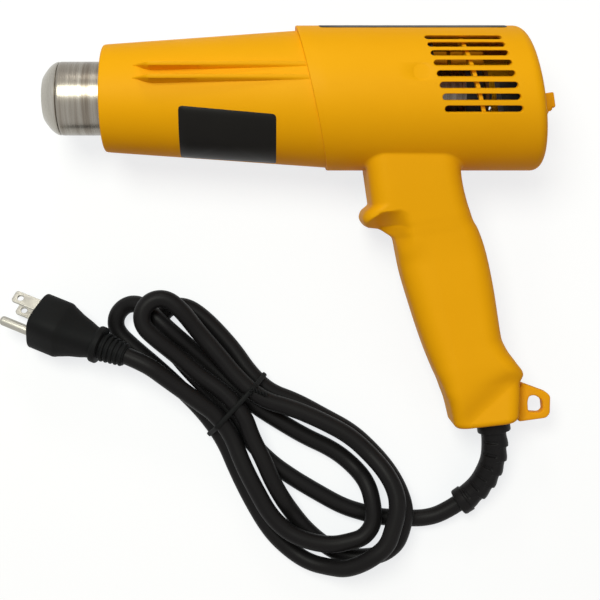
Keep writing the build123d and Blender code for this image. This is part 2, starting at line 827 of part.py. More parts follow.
# Fan, shaft and motor
shaft_back = can_back + endcap_length / 2
with BuildPart() as fan_impeller:
    with BuildSketch(cross_plane(fan_front)):
        Circle(fan_hub_radius)
    extrude(amount=fan_length)
    for k in range(fan_blades):
        angle = 2 * pi * k / fan_blades
        outward = top * cos(angle) + flank * sin(angle)
        blade_origin = tool_point(fan_front + fan_length / 2, 0, 0) + outward * (fan_hub_radius / 2)
        blade_chord = (fan_length - fan_blade) / cos(radians(fan_pitch))
        with BuildSketch(Plane(origin=blade_origin, x_dir=ahead, z_dir=outward)) as blade:
            Rectangle(blade_chord, fan_blade, rotation=fan_pitch)
        extrude(blade.sketch, amount=fan_radius - fan_hub_radius / 2)
    with BuildSketch(cross_plane(fan_front - overrun)) as hub_hole:
        Circle(shaft_radius)
    extrude(hub_hole.sketch, amount=fan_length + 2 * overrun, mode=Mode.SUBTRACT)

with BuildPart() as motor_shaft:
    with BuildSketch(cross_plane(fan_front - shaft_nose)):
        Circle(shaft_radius)
    extrude(amount=shaft_back - fan_front + shaft_nose)

with BuildPart() as motor_can:
    with BuildSketch(cross_plane(can_front)):
        Circle(can_radius)
    extrude(amount=can_length)
    with BuildSketch(cross_plane(can_front - can_boss)):
        Circle(can_boss_radius)
    extrude(amount=can_boss)
    with BuildSketch(cross_plane(can_front - can_boss)) as bearing:
        Circle(shaft_radius + running_gap)
    extrude(bearing.sketch, amount=can_boss + can_length, mode=Mode.SUBTRACT)

with BuildPart() as motor_endcap:
    with BuildSketch(cross_plane(can_back)):
        Circle(can_radius)
    extrude(amount=endcap_length)
    with BuildSketch(cross_plane(endcap_back)):
        with Locations((0, board_radius - diode_place / 3), (0, diode_place / 3 - board_radius)):
            Rectangle(endcap_tab * 2, endcap_tab / 2)
    extrude(amount=endcap_tab_reach)
    with BuildSketch(cross_plane(can_back)) as rear_bearing:
        Circle(shaft_radius + running_gap)
    extrude(rear_bearing.sketch, amount=endcap_length * 0.75, mode=Mode.SUBTRACT)

with BuildPart() as motor_mount:
    clamp_radius = can_radius + slip_gap + mount_clamp
    with BuildSketch(cross_plane(mount_front)) as mount_rings:
        Circle(rim_radius)
        Circle(rim_radius - mount_ring, mode=Mode.SUBTRACT)
        Circle(clamp_radius)
        arm_middle = (rim_radius - mount_ring + clamp_radius) / 2
        with PolarLocations(arm_middle, mount_arms, start_angle=degrees(pi / mount_arms)):
            Rectangle(rim_radius - clamp_radius, mount_arm)
        Circle(can_radius + slip_gap, mode=Mode.SUBTRACT)
    extrude(mount_rings.sketch, amount=mount_length)

with BuildPart() as rectifier_board:
    with BuildSketch(cross_plane(board_front)):
        Circle(board_radius)
        Circle(board_hole, mode=Mode.SUBTRACT)
        with Locations((0, board_radius - diode_place / 3), (0, diode_place / 3 - board_radius)):
            Rectangle(endcap_tab * 2 + loose_gap * 2, endcap_tab / 2 + loose_gap * 2, mode=Mode.SUBTRACT)
    extrude(amount=board_thickness)
    for place in (-diode_place, -diode_place / 3, diode_place / 3, diode_place):
        diode_origin = tool_point(board_front + board_thickness + diode_radius, place, -diode_length / 2)
        with BuildSketch(Plane(origin=diode_origin, x_dir=top, z_dir=flank)) as diode:
            Circle(diode_radius + slip_gap)
        extrude(diode.sketch, amount=diode_length)

# Switch
switch_front_plane = rear_plane.offset(-body_wall)
with BuildPart() as switch_body:
    with BuildSketch(switch_front_plane) as case:
        with Locations((slot_place, 0)):
            Rectangle(switch_length, switch_width)
    extrude(case.sketch, amount=-switch_depth)
    with BuildSketch(switch_front_plane) as pocket:
        with Locations((slot_place, 0)):
            Rectangle(slot_length, stem_width + 2 * loose_gap)
    extrude(pocket.sketch, amount=-stem_grip - stem_room, mode=Mode.SUBTRACT)

knob_side = rear_plane.x_dir.cross(rear_plane.z_dir)
knob_plane = Plane(origin=rear_plane.origin, x_dir=rear_plane.x_dir, z_dir=knob_side)
with BuildPart() as switch_knob:
    with BuildSketch(knob_plane) as wedge:
        with BuildLine():
            Polyline(
                (knob_top, loose_gap),
                (knob_top, knob_proud),
                (knob_top - knob_tip, knob_proud),
                (knob_top - knob_base, loose_gap),
                close=True,
            )
        make_face()
    extrude(wedge.sketch, amount=knob_width / 2, both=True)
    fillet(edges(), radius=knob_round)
    with BuildSketch(knob_plane) as stem:
        with BuildLine():
            Polyline(
                (stem_place - stem_length / 2, loose_gap + knob_round),
                (stem_place + stem_length / 2, loose_gap + knob_round),
                (stem_place + stem_length / 2, -body_wall - stem_grip),
                (stem_place - stem_length / 2, -body_wall - stem_grip),
                close=True,
            )
        make_face()
    extrude(stem.sketch, amount=stem_width / 2, both=True)

# Hang loop, its tongue held between the halves
with BuildPart() as hang_loop:
    with BuildSketch(middle) as plate:
        with BuildLine():
            Polyline(*loop_points(loop_outline_shares), close=True)
        make_face()
    extrude(plate.sketch, amount=loop_thickness / 2, both=True)
    with BuildSketch(middle) as hole:
        with BuildLine():
            Polyline(*loop_points(loop_hole_shares), close=True)
        make_face()
    extrude(hole.sketch, amount=loop_thickness, both=True, mode=Mode.SUBTRACT)
    with BuildSketch(middle) as bar:
        with BuildLine():
            Polyline(*loop_points(loop_bar_shares), close=True)
        make_face()
    extrude(bar.sketch, amount=loop_bar_width / 2, both=True)

# Cord relief: collar, neck through the butt, inner flange and the notched boot
relief_inner = grip_length - body_wall
collar_end = grip_length + relief_collar


def corner_radii(points):
    """Bend radius at each inner corner: 0.45 of the shorter run over tan of half the turn."""
    run_share = 0.45
    radii = []
    for a, b, c in zip(points, points[1:], points[2:]):
        turn = acos(max(-1, min(1, (b - a).normalized().dot((c - b).normalized()))))
        radii.append(run_share * min((b - a).length, (c - b).length) / tan(turn / 2))
    return radii


def cord_plane(origin, heading):
    """Plane across a cord at one of its ends."""
    side_way = heading.cross(Vector(0, 0, 1)).normalized()
    return Plane(origin=origin, x_dir=side_way, z_dir=heading)


boot_start = grip_point(collar_end - relief_collar / 2, exit_back)
boot_points = [boot_start, grip_point(collar_end + relief_collar, exit_back)]
boot_points += [Vector(*point) for point in relief_route]
boot_radii = corner_radii(boot_points)
with BuildLine() as boot_route:
    FilletPolyline(*boot_points, radius=boot_radii)
boot_path = boot_route.wire()

with BuildPart() as strain_relief:
    with BuildSketch(grip_plane(grip_length, exit_back)) as collar:
        Circle(relief_collar_radius)
    extrude(collar.sketch, amount=relief_collar)
    with BuildSketch(grip_plane(relief_inner, exit_back)) as neck:
        Circle(relief_neck_radius)
    extrude(neck.sketch, amount=body_wall)
    with BuildSketch(grip_plane(relief_inner, exit_back)) as flange:
        Circle(relief_collar_radius)
    extrude(flange.sketch, amount=-relief_flange)
    with BuildSketch(grip_plane(collar_end - relief_collar / 2, exit_back)) as core:
        Circle(relief_core_radius)
    sweep(core.sketch, path=boot_path)
    for k in range(relief_segments):
        share = (k + 1) / relief_segments
        ring_end = boot_path.location_at(share)
        heading = boot_path.tangent_at(share)
        with BuildSketch(cord_plane(ring_end.position, heading)) as ring:
            Circle(relief_radius)
        extrude(ring.sketch, amount=-relief_segment)

# Cord inside the grip, its clamp and the terminal block
terminal_end = grip_length - terminal_place
inner_points = [
    grip_point(relief_inner - relief_flange, exit_back),
    grip_point(clamp_t - clamp_width, exit_back),
    grip_point(terminal_end + terminal_length, terminal_back),
    grip_point(terminal_end, terminal_back),
]
inner_radii = corner_radii(inner_points)
with BuildPart() as cord_inner:
    with BuildLine() as inner_route:
        FilletPolyline(*inner_points, radius=inner_radii)
    with BuildSketch(cord_plane(inner_points[0], -down_grip)) as inner_section:
        Circle(cord_diameter / 2)
    sweep(inner_section.sketch, path=inner_route.wire())

with BuildPart() as terminal_block:
    with BuildSketch(grip_plane(terminal_end, terminal_back)):
        Rectangle(terminal_height, terminal_depth)
    extrude(amount=-terminal_length)

clamp_low = cord_diameter / 2
with BuildPart() as cord_clamp:
    with BuildSketch(Plane(origin=grip_point(clamp_t, exit_back), x_dir=back_grip, z_dir=down_grip)) as bridge:
        with Locations((0, (clamp_low + clamp_thickness) / 2)):
            Rectangle(2 * (clamp_post_spread + clamp_post_radius), clamp_low + clamp_thickness)
        Circle(cord_diameter / 2, mode=Mode.SUBTRACT)
    extrude(bridge.sketch, amount=clamp_width / 2, both=True)
    with BuildSketch(middle) as clamp_holes:
        with Locations(*clamp_spots):
            Circle(clamp_screw_radius + slip_gap)
    extrude(clamp_holes.sketch, amount=body_radius, mode=Mode.SUBTRACT)

with BuildPart() as clamp_screws:
    with BuildSketch(middle.offset(-clamp_screw_length)) as clamp_shanks:
        with Locations(*clamp_spots):
            Circle(clamp_screw_radius)
    extrude(clamp_shanks.sketch, amount=clamp_screw_length + clamp_low + clamp_thickness)
    with BuildSketch(middle.offset(clamp_low + clamp_thickness)) as clamp_heads:
        with Locations(*clamp_spots):
            Circle(clamp_head_radius)
    extrude(clamp_heads.sketch, amount=clamp_head)

# Hank: one tube through every loop
hank_along = Vector(cos(radians(hank_heading)), sin(radians(hank_heading)), 0)
hank_across = Vector(-hank_along.Y, hank_along.X, 0)
tie_origin = Vector(tie_point[0], tie_point[1], 0)


def hank_point(along, across, height):
    """World point of a place given along and across the hank."""
    return tie_origin + hank_along * along + hank_across * across + Vector(0, 0, height)


def hank_direction(angle, slope):
    """World heading of the cord at one of the hank's points."""
    flat = hank_along * cos(radians(angle)) + hank_across * sin(radians(angle))
    return (flat + Vector(0, 0, slope)).normalized()


hank_points = [hank_point(*node[:3]) for node in hank_nodes]
hank_headings = [hank_direction(*node[3:]) for node in hank_nodes]
hank_arcs = blend_arcs(hank_points, hank_headings)
hank_start = hank_points[0] - hank_headings[0] * cord_diameter
hank_end = hank_points[-1] + hank_headings[-1] * cord_diameter
hank_arcs.insert(0, (hank_start, (hank_start + hank_points[0]) / 2, hank_points[0]))
hank_arcs.append((hank_points[-1], (hank_points[-1] + hank_end) / 2, hank_end))

hank_path = arc_path(hank_arcs)
with BuildPart() as cord_hank:
    with BuildSketch(cord_plane(hank_start, hank_headings[0])) as hank_section:
        Circle(cord_diameter / 2)
    sweep(hank_section.sketch, path=hank_path)

# Lead at the tool, from the relief to the hank
boot_heading = boot_path.tangent_at(1)
lead_points = [boot_points[-1], boot_points[-1] + boot_heading * lead_run * 0.75]
lead_points += [Vector(*point) for point in lead_route]
lead_points += [hank_start - hank_headings[0] * lead_run, hank_start]
lead_radii = corner_radii(lead_points)
with BuildPart() as cord_lead_gun:
    with BuildLine() as lead_line:
        FilletPolyline(*lead_points, radius=lead_radii)
    with BuildSketch(cord_plane(lead_points[0], boot_heading)) as lead_section:
        Circle(cord_diameter / 2)
    sweep(lead_section.sketch, path=lead_line.wire())

# Plug: face plane with local X across the two blades
face_point = Vector(*plug_face)
tail_point = Vector(*plug_tail)
pin_way = (face_point - tail_point).normalized()
flat_way = Vector(0, 0, 1).cross(pin_way).normalized()
rise_way = pin_way.cross(flat_way)
blade_way = rise_way * cos(radians(plug_roll)) - flat_way * sin(radians(plug_roll))
face_origin = tail_point + pin_way * plug_length


def plug_plane(setback):
    """Plane across the plug, that far behind its face."""
    return Plane(origin=face_origin - pin_way * setback, x_dir=blade_way, z_dir=pin_way)


def plug_section(setback, size, corner):
    """Rounded square section of the plug's body."""
    with BuildSketch(plug_plane(setback)) as section:
        RectangleRounded(size, size, corner)
    return section.sketch


neck_back = plug_length * plug_neck_share
round_share = 0.49
with BuildPart() as plug_body:
    full_corner = plug_round
    loft(sections=[
        plug_section(0, plug_size - plug_rib, full_corner),
        plug_section(plug_rib, plug_size, full_corner),
        plug_section(plug_length * plug_front_share, plug_size, full_corner),
    ], ruled=True)
    loft(sections=[
        plug_section(plug_length * plug_front_share, plug_size, full_corner),
        plug_section(neck_back, plug_neck_size, plug_neck_size * round_share),
    ])
    with BuildSketch(plug_plane(neck_back)) as plug_ring:
        Circle(plug_collar_radius)
    extrude(plug_ring.sketch, amount=-plug_collar)
    with BuildSketch(Plane(origin=face_origin, x_dir=-pin_way, z_dir=blade_way)) as tail_profile:
        with BuildLine():
            Polyline(
                (neck_back, 0),
                (neck_back, plug_tail_front),
                (plug_length, plug_tail_end),
                (plug_length, 0),
                close=True,
            )
        make_face()
        tail_run = plug_length - neck_back - plug_collar
        rib_step = tail_run / (plug_rib_count + 1)
        for k in range(1, plug_rib_count + 1):
            rib_x = neck_back + plug_collar + rib_step * k
            tail_share = (rib_x - neck_back) / (plug_length - neck_back)
            rib_r = plug_tail_front + (plug_tail_end - plug_tail_front) * tail_share
            with Locations((rib_x, rib_r / 2 + plug_rib_height / 2)):
                Rectangle(plug_rib, rib_r + plug_rib_height)
    revolve(tail_profile.sketch, axis=Axis(face_origin, -pin_way))

with BuildPart() as plug_blades:
    with BuildSketch(plug_plane(0)) as blades:
        with Locations((blade_spread, blade_offset), (-blade_spread, blade_offset)):
            Rectangle(blade_thickness, blade_width)
    extrude(blades.sketch, amount=blade_length)
    hole_origin = face_origin + pin_way * (blade_length - blade_hole_place)
    hole_origin = hole_origin + pin_way.cross(blade_way) * blade_offset
    with BuildSketch(Plane(origin=hole_origin, x_dir=pin_way, z_dir=blade_way)) as blade_holes:
        Circle(blade_hole)
    extrude(blade_holes.sketch, amount=blade_spread * 2, both=True, mode=Mode.SUBTRACT)

with BuildPart() as plug_ground_pin:
    with BuildSketch(plug_plane(0)) as ground:
        with Locations((0, -ground_offset)):
            Circle(ground_radius)
    extrude(ground.sketch, amount=ground_length)
    fillet(faces().sort_by(Axis(face_origin, pin_way))[-1].edges(), radius=ground_radius * pin_nose_share)

# Lead at the plug, from the hank to the plug's tail
tail_face = face_origin - pin_way * plug_length
plug_lead_points = [
    hank_end,
    hank_end + hank_headings[-1] * lead_run,
    tail_face - pin_way * plug_lead_run,
    tail_face,
]
plug_lead_radii = corner_radii(plug_lead_points)
with BuildPart() as cord_lead_plug:
    with BuildLine() as plug_lead_line:
        FilletPolyline(*plug_lead_points, radius=plug_lead_radii)
    with BuildSketch(cord_plane(hank_end, hank_headings[-1])) as plug_lead_section:
        Circle(cord_diameter / 2)
    sweep(plug_lead_section.sketch, path=plug_lead_line.wire())

# Twist tie round the seven strands
with BuildPart() as cord_tie:
    tie_plane = Plane(origin=tie_origin, x_dir=hank_across, z_dir=hank_along)
    with BuildSketch(tie_plane) as band:
        with Locations(*strand_places):
            Circle(cord_diameter / 2 + tie_gap + tie_thickness)
        make_hull()
    extrude(band.sketch, amount=tie_width / 2, both=True)
    with BuildSketch(tie_plane) as band_inside:
        with Locations(*strand_places):
            Circle(cord_diameter / 2 + tie_gap)
        make_hull()
    extrude(band_inside.sketch, amount=tie_width, both=True, mode=Mode.SUBTRACT)
    twist_out = max(place[0] for place in strand_places) + cord_diameter / 2 + tie_gap + tie_twist_radius
    for along_share, across_share, length_share in twist_shares:
        way = hank_along * along_share + hank_across * across_share
        place = twist_out if across_share > 0 else tie_twist_radius / 2 - twist_out
        with BuildSketch(cord_plane(hank_point(0, place, tied_low), way.normalized())) as twist:
            Circle(tie_twist_radius)
        extrude(twist.sketch, amount=tie_twist_length * length_share)



def least_gap(path, diameter):
    """Least gap between a tube's turns, from points along its centre line."""
    count = int(path.length * 0.6)
    points = [tuple(path.position_at(k / count)) for k in range(count + 1)]
    apart = int(3.2 * diameter / path.length * count) + 1
    nearest = path.length
    for i in range(count + 1):
        x, y, z = points[i]
        for j in range(i + apart, count + 1):
            a, b, c = points[j]
            square = (x - a) * (x - a) + (y - b) * (y - b) + (z - c) * (z - c)
            if square < nearest * nearest:
                nearest = sqrt(square)
    return nearest - diameter


def rounded(values):
    """Values to one decimal, for printing."""
    return [round(value, 1) for value in values]


print("boot radii", rounded(boot_radii), "lead radii", rounded(lead_radii))
print("inner cord radii", rounded(inner_radii), "plug lead radii", rounded(plug_lead_radii))
print("hank radii", rounded(sorted(arc_turn(arc)[1] for arc in hank_arcs)[:8]))
print("hank gap", round(least_gap(hank_path, cord_diameter), 2))
print("ribbon gap", round(least_gap(ribbon_path, ribbon_size), 2))
cord_lengths = [hank_path.length, boot_path.length, lead_line.wire().length, plug_lead_line.wire().length]
print("cord lengths", rounded(cord_lengths), "in all", round(sum(cord_lengths)))

pieces = {
    "housing_left": housing_left,
    "housing_right": housing_right,
    "front_sleeve": front_sleeve,
    "nozzle_tube": nozzle_tube,
    "nozzle_lip": nozzle_lip,
    "nozzle_flange": nozzle_flange,
    "insulation_tube": insulation_tube,
    "heater_former": heater_former,
    "heating_ribbon": heating_ribbon,
    "thermal_cutout": thermal_cutout,
    "fan_duct": fan_duct,
    "fan_impeller": fan_impeller,
    "motor_shaft": motor_shaft,
    "motor_can": motor_can,
    "motor_endcap": motor_endcap,
    "motor_mount": motor_mount,
    "rectifier_board": rectifier_board,
    "switch_body": switch_body,
    "switch_knob": switch_knob,
    "hang_loop": hang_loop,
    "strain_relief": strain_relief,
    "cord_inner": cord_inner,
    "cord_clamp": cord_clamp,
    "clamp_screws": clamp_screws,
    "terminal_block": terminal_block,
    "housing_screws": housing_screws,
    "cord_lead_gun": cord_lead_gun,
    "cord_hank": cord_hank,
    "cord_lead_plug": cord_lead_plug,
    "cord_tie": cord_tie,
    "plug_body": plug_body,
    "plug_blades": plug_blades,
    "plug_ground_pin": plug_ground_pin,
}
for name, piece in pieces.items():
    piece.part.label = name
    export_step(piece.part, f"parts/{name}.step")
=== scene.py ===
"""Embossing heat tool lying on its side, with its cord tied in a hank and a three-pin plug."""

import logging
from dataclasses import dataclass, field
from enum import Enum
from math import asin, atan, cos, pi, radians, sin, sqrt, tan
from typing import Callable, Sequence

import bmesh
import bpy
import numpy as np
from mathutils import Matrix, Vector


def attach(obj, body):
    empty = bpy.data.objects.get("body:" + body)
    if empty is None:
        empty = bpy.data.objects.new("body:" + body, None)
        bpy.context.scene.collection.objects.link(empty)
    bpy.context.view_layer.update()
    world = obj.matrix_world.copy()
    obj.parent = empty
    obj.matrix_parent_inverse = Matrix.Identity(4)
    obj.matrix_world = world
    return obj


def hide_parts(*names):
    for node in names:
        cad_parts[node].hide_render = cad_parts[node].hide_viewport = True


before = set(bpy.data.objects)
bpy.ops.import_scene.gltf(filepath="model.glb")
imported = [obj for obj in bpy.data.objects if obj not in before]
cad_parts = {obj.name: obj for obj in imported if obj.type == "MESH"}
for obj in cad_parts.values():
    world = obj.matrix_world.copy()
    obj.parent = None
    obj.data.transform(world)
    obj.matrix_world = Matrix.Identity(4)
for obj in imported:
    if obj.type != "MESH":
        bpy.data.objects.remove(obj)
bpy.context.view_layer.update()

LOG = logging.getLogger("heat_tool")
MM = 0.001
WHITE = (1, 1, 1, 1)
SOFT_IOR = 1.35
BUMP_DEPTH = 0.0002

Point = tuple[float, float, float]
Numbers = float | np.ndarray
Source = bpy.types.NodeSocket | float | tuple[float, ...]


class Body(Enum):
    """The bodies that the pieces made here move with."""

    TOOL = "tool"
    SWITCH = "switch"


class Cut(Enum):
    """Ways of joining two solids."""

    JOIN = "UNION"
    TAKE = "DIFFERENCE"
    KEEP = "INTERSECT"


# The tool's own frame, in millimetres


@dataclass(frozen=True)
class ToolFrame:
    """Where the tool lies: barrel along X, its top leaning off +Y, its left flank upwards."""

    radius: float = 34.3
    butt_reach: float = 162.0
    butt_half: float = 17.0
    seam_x: float = 4.55
    rear_x: float = 110.15
    tip_x: float = -123.25
    seam_slant: float = radians(12.7)
    rear_slant: float = radians(9.1)
    lean: float = radians(8.4)
    grip_root: float = 47.0

    @property
    def roll(self) -> float:
        """Angle between the tool's top and +Y, from barrel and butt both on the floor."""
        reach = sqrt(self.butt_half**2 + self.butt_reach**2)
        return asin(self.radius / reach) - atan(self.butt_half / self.butt_reach)

    def point(self, x: Numbers, v: Numbers, w: Numbers) -> np.ndarray:
        """World place of x along the barrel, v to the top and w to the left flank.

        Args:
            x: Place along the barrel.
            v: Place towards the top.
            w: Place towards the left flank.

        Returns:
            Array of places, in millimetres.
        """
        c, s = cos(self.roll), sin(self.roll)
        x, v, w = np.broadcast_arrays(x, v, w)
        y = (self.butt_reach - self.radius) / 2 + v * c - w * s
        return np.stack([x, y, self.radius + v * s + w * c], axis=-1).astype(float)

    def down(self, t: Numbers, e: Numbers) -> tuple:
        """Places along the barrel and above its axis of t down the grip and e behind its line."""
        c, s = cos(self.lean), sin(self.lean)
        return self.seam_x + self.grip_root + t * s + e * c, -t * c + e * s

    def grip(self, t: Numbers, e: Numbers, w: Numbers) -> np.ndarray:
        """World place of t down the grip, e behind its centre line and w to the left flank."""
        return self.point(*self.down(t, e), w)

    def rear(self, a: Numbers, n: Numbers, b: Numbers) -> np.ndarray:
        """World place of a up the rear wall, n out of it and b across it."""
        c, s = cos(self.rear_slant), sin(self.rear_slant)
        return self.point(self.rear_x - a * s + n * c, a * c + n * s, b)


TOOL = ToolFrame()


# Meshes


def placed(name: str, data: bpy.types.ID) -> bpy.types.Object:
    """Object in the scene for a mesh, curve, lamp or camera.

    Args:
        name: The object's name.
        data: What it shows or holds.

    Returns:
        The object.
    """
    thing = bpy.data.objects.new(name, data)
    bpy.context.scene.collection.objects.link(thing)
    return thing


def around(columns: int) -> np.ndarray:
    """Even angles once round."""
    return np.arange(columns) * 2 * pi / columns


class Solid:
    """Points in millimetres and faces, gathered from grids and outlines."""

    def __init__(self) -> None:
        """Starts with no points."""
        self.points: list[np.ndarray] = []
        self.faces: list[tuple[int, ...]] = []
        self.count = 0

    def add_points(self, points: np.ndarray) -> int:
        """Adds points and gives the number of the first one.

        Args:
            points: Array whose rows of three are points.

        Returns:
            The first point's number.
        """
        first = self.count
        flat = np.asarray(points, float).reshape(-1, 3)
        self.points.append(flat)
        self.count += len(flat)
        return first

    def grid(self, rows: np.ndarray, closed: bool = True, caps: bool = True) -> "Solid":
        """Adds a skin over rows of points.

        Args:
            rows: Array of rows by columns by 3.
            closed: Whether each row closes on itself.
            caps: Whether the first and last row are closed by a fan to their middle.

        Returns:
            The same solid.
        """
        n_rows, n_cols = rows.shape[:2]
        first = self.add_points(rows)
        last_col = n_cols if closed else n_cols - 1
        for i in range(n_rows - 1):
            for j in range(last_col):
                k = (j + 1) % n_cols
                a, b = first + i * n_cols, first + (i + 1) * n_cols
                self.faces.append((a + j, a + k, b + k, b + j))
        if caps:
            for row, flip in ((0, True), (n_rows - 1, False)):
                centre = self.add_points(rows[row].mean(axis=0))
                start = first + row * n_cols
                for j in range(n_cols):
                    k = (j + 1) % n_cols
                    fan = (start + j, start + k, centre)
                    self.faces.append(fan[::-1] if flip else fan)
        return self

    def prism(self, low: np.ndarray, high: np.ndarray) -> "Solid":
        """Adds a closed prism between two outlines with the same number of points.

        Args:
            low: One outline.
            high: The other outline.

        Returns:
            The same solid.
        """
        n = len(low)
        first = self.add_points(np.concatenate([low, high]))
        self.faces.append(tuple(first + j for j in range(n)))
        self.faces.append(tuple(first + n + j for j in reversed(range(n))))
        for j in range(n):
            k = (j + 1) % n
            self.faces.append((first + j, first + n + j, first + n + k, first + k))
        return self

    def build(self, name: str) -> bpy.types.Object:
        """Makes the mesh object, in metres, with its faces turned outwards.

        Args:
            name: The object's name.

        Returns:
            The object.
        """
        mesh = bpy.data.meshes.new(name)
        points = np.concatenate(self.points) * MM
        mesh.from_pydata(points.tolist(), [], self.faces)
        bm = bmesh.new()
        bm.from_mesh(mesh)
        bmesh.ops.remove_doubles(bm, verts=bm.verts, dist=1e-7)
        bmesh.ops.recalc_face_normals(bm, faces=bm.faces)
        bm.to_mesh(mesh)
        bm.free()
        return placed(name, mesh)


def skin(name: str, rows: Sequence[np.ndarray], caps: bool = True) -> bpy.types.Object:
    """Object with a skin over rows of points that each close on themselves."""
    return Solid().grid(np.array(rows), caps=caps).build(name)


def evaluated(thing: bpy.types.Object) -> bpy.types.Mesh:
    """Plain mesh of an object with all its modifiers.

    Args:
        thing: The object.

    Returns:
        The mesh.
    """
    bpy.context.view_layer.update()
    graph = bpy.context.evaluated_depsgraph_get()
    return bpy.data.meshes.new_from_object(thing.evaluated_get(graph))


def applied(piece: bpy.types.Object) -> bpy.types.Object:
    """Turns a piece's modifiers into its plain mesh.

    Args:
        piece: The piece.

    Returns:
        The same piece.
    """
    mesh = evaluated(piece)
    mesh.name = piece.name
    piece.modifiers.clear()
    piece.data = mesh
    return piece


def combine(base: bpy.types.Object, other: bpy.types.Object, way: Cut) -> bpy.types.Object:
    """Joins, takes away or keeps what two closed solids share; the second one is used up.

    Args:
        base: The solid that stays.
        other: The solid that is used up.
        way: How the two are joined.

    Returns:
        The solid that stays.
    """
    tool = base.modifiers.new("solid", "BOOLEAN")
    tool.operation = way.value
    tool.solver = "MANIFOLD"
    tool.object = other
    applied(base)
    bpy.data.objects.remove(other)
    return base


def doubled(piece: bpy.types.Object) -> bpy.types.Object:
    """Second object with its own copy of the mesh."""
    return placed(piece.name, piece.data.copy())


def smooth(piece: bpy.types.Object, angle: float = 32.0) -> bpy.types.Object:
    """Shades a piece smooth, apart from edges sharper than the angle in degrees.

    Args:
        piece: The piece.
        angle: Largest angle that still looks smooth.

    Returns:
        The same piece.
    """
    mesh = piece.data
    mesh.polygons.foreach_set("use_smooth", [True] * len(mesh.polygons))
    mesh.set_sharp_from_angle(angle=radians(angle))
    mesh.update()
    return piece


def through(places: Sequence[float], values: Sequence[float], at: Numbers) -> np.ndarray:
    """Smooth curve through given values that never passes beyond them.

    Args:
        places: Rising places.
        values: Value at each place.
        at: Places that are asked for.

    Returns:
        The curve's values at those places.
    """
    x, y, at = np.asarray(places, float), np.asarray(values, float), np.asarray(at, float)
    h, d = np.diff(x), np.diff(y) / np.diff(x)
    slope = np.zeros_like(y)
    for k in range(1, len(x) - 1):
        if d[k - 1] * d[k] > 0:
            a, b = 2 * h[k] + h[k - 1], h[k] + 2 * h[k - 1]
            slope[k] = (a + b) / (a / d[k - 1] + b / d[k])
    slope[0], slope[-1] = d[0], d[-1]
    at = np.clip(at, x[0], x[-1])
    k = np.clip(np.searchsorted(x, at, side="right") - 1, 0, len(x) - 2)
    s = (at - x[k]) / h[k]
    rise = (1 + 2 * s) * (1 - s) ** 2 * y[k] + s * s * (3 - 2 * s) * y[k + 1]
    return rise + h[k] * (s * (1 - s) ** 2 * slope[k] - s * s * (1 - s) * slope[k + 1])


def lengths(line: np.ndarray) -> np.ndarray:
    """Length along a line at each of its points."""
    return np.concatenate([[0], np.cumsum(np.linalg.norm(np.diff(line, axis=0), axis=1))])


def even_loop(loop: np.ndarray, count: int) -> np.ndarray:
    """Even points on a closed line in a plane.

    Args:
        loop: The line's points.
        count: How many points are wanted.

    Returns:
        Array of points.
    """
    loop = np.concatenate([loop, loop[:1]])
    reach = lengths(loop)
    even = np.linspace(0, reach[-1], count + 1)[:-1]
    return np.stack([np.interp(even, reach, loop[:, k]) for k in range(2)], axis=-1)


def ramp(x: Numbers, low: float, high: float) -> np.ndarray:
    """Smooth step from 0 at low to 1 at high."""
    s = np.clip((np.asarray(x, float) - low) / (high - low), 0, 1)
    return s * s * (3 - 2 * s)


def outline_arcs(points: Sequence[tuple[float, float]], size: float, steps: int = 6) -> np.ndarray:
    """Outline with its corners rounded.

    Args:
        points: The corners.
        size: Length that a rounding takes of each side, less where a side is short.
        steps: Points on each rounding.

    Returns:
        Array of points.
    """
    corners = np.array(points, float)
    out = []
    for k, corner in enumerate(corners):
        before = corners[k - 1] - corner
        after = corners[(k + 1) % len(corners)] - corner
        reach = min(size, 0.45 * np.linalg.norm(before), 0.45 * np.linalg.norm(after))
        before, after = (side / np.linalg.norm(side) * reach for side in (before, after))
        for s in np.linspace(0, 1, steps):
            out.append(corner + before * (1 - s) ** 2 + after * s**2)
    return np.array(out)


def turned(profile: Sequence[tuple[float, float]], columns: int = 192) -> np.ndarray:
    """Rows of points round the barrel's axis from (x, radius) pairs."""
    angle = around(columns)
    return np.array([TOOL.point(x, r * np.cos(angle), r * np.sin(angle)) for x, r in profile])


def tube_profile(
    front: float, back: float, outer: float, inner: float, edge: float
) -> list[tuple[float, float]]:
    """Closed profile of a tube with small rounded edges.

    Args:
        front: Its front, along the barrel.
        back: Its back.
        outer: Outside radius.
        inner: Inside radius.
        edge: Size of the rounding on its four edges.

    Returns:
        The (x, radius) pairs, the first one repeated at the end.
    """
    k, middle = edge * 0.3, (front + back) / 2
    pairs = [
        (front, inner + edge), (front, outer - edge), (front + k, outer - k), (front + edge, outer),
        (middle, outer), (back - edge, outer), (back - k, outer - k), (back, outer - edge),
        (back, inner + edge), (back - k, inner + k), (back - edge, inner), (middle, inner),
        (front + edge, inner), (front + k, inner + k),
    ]
    return pairs + pairs[:1]


# Materials


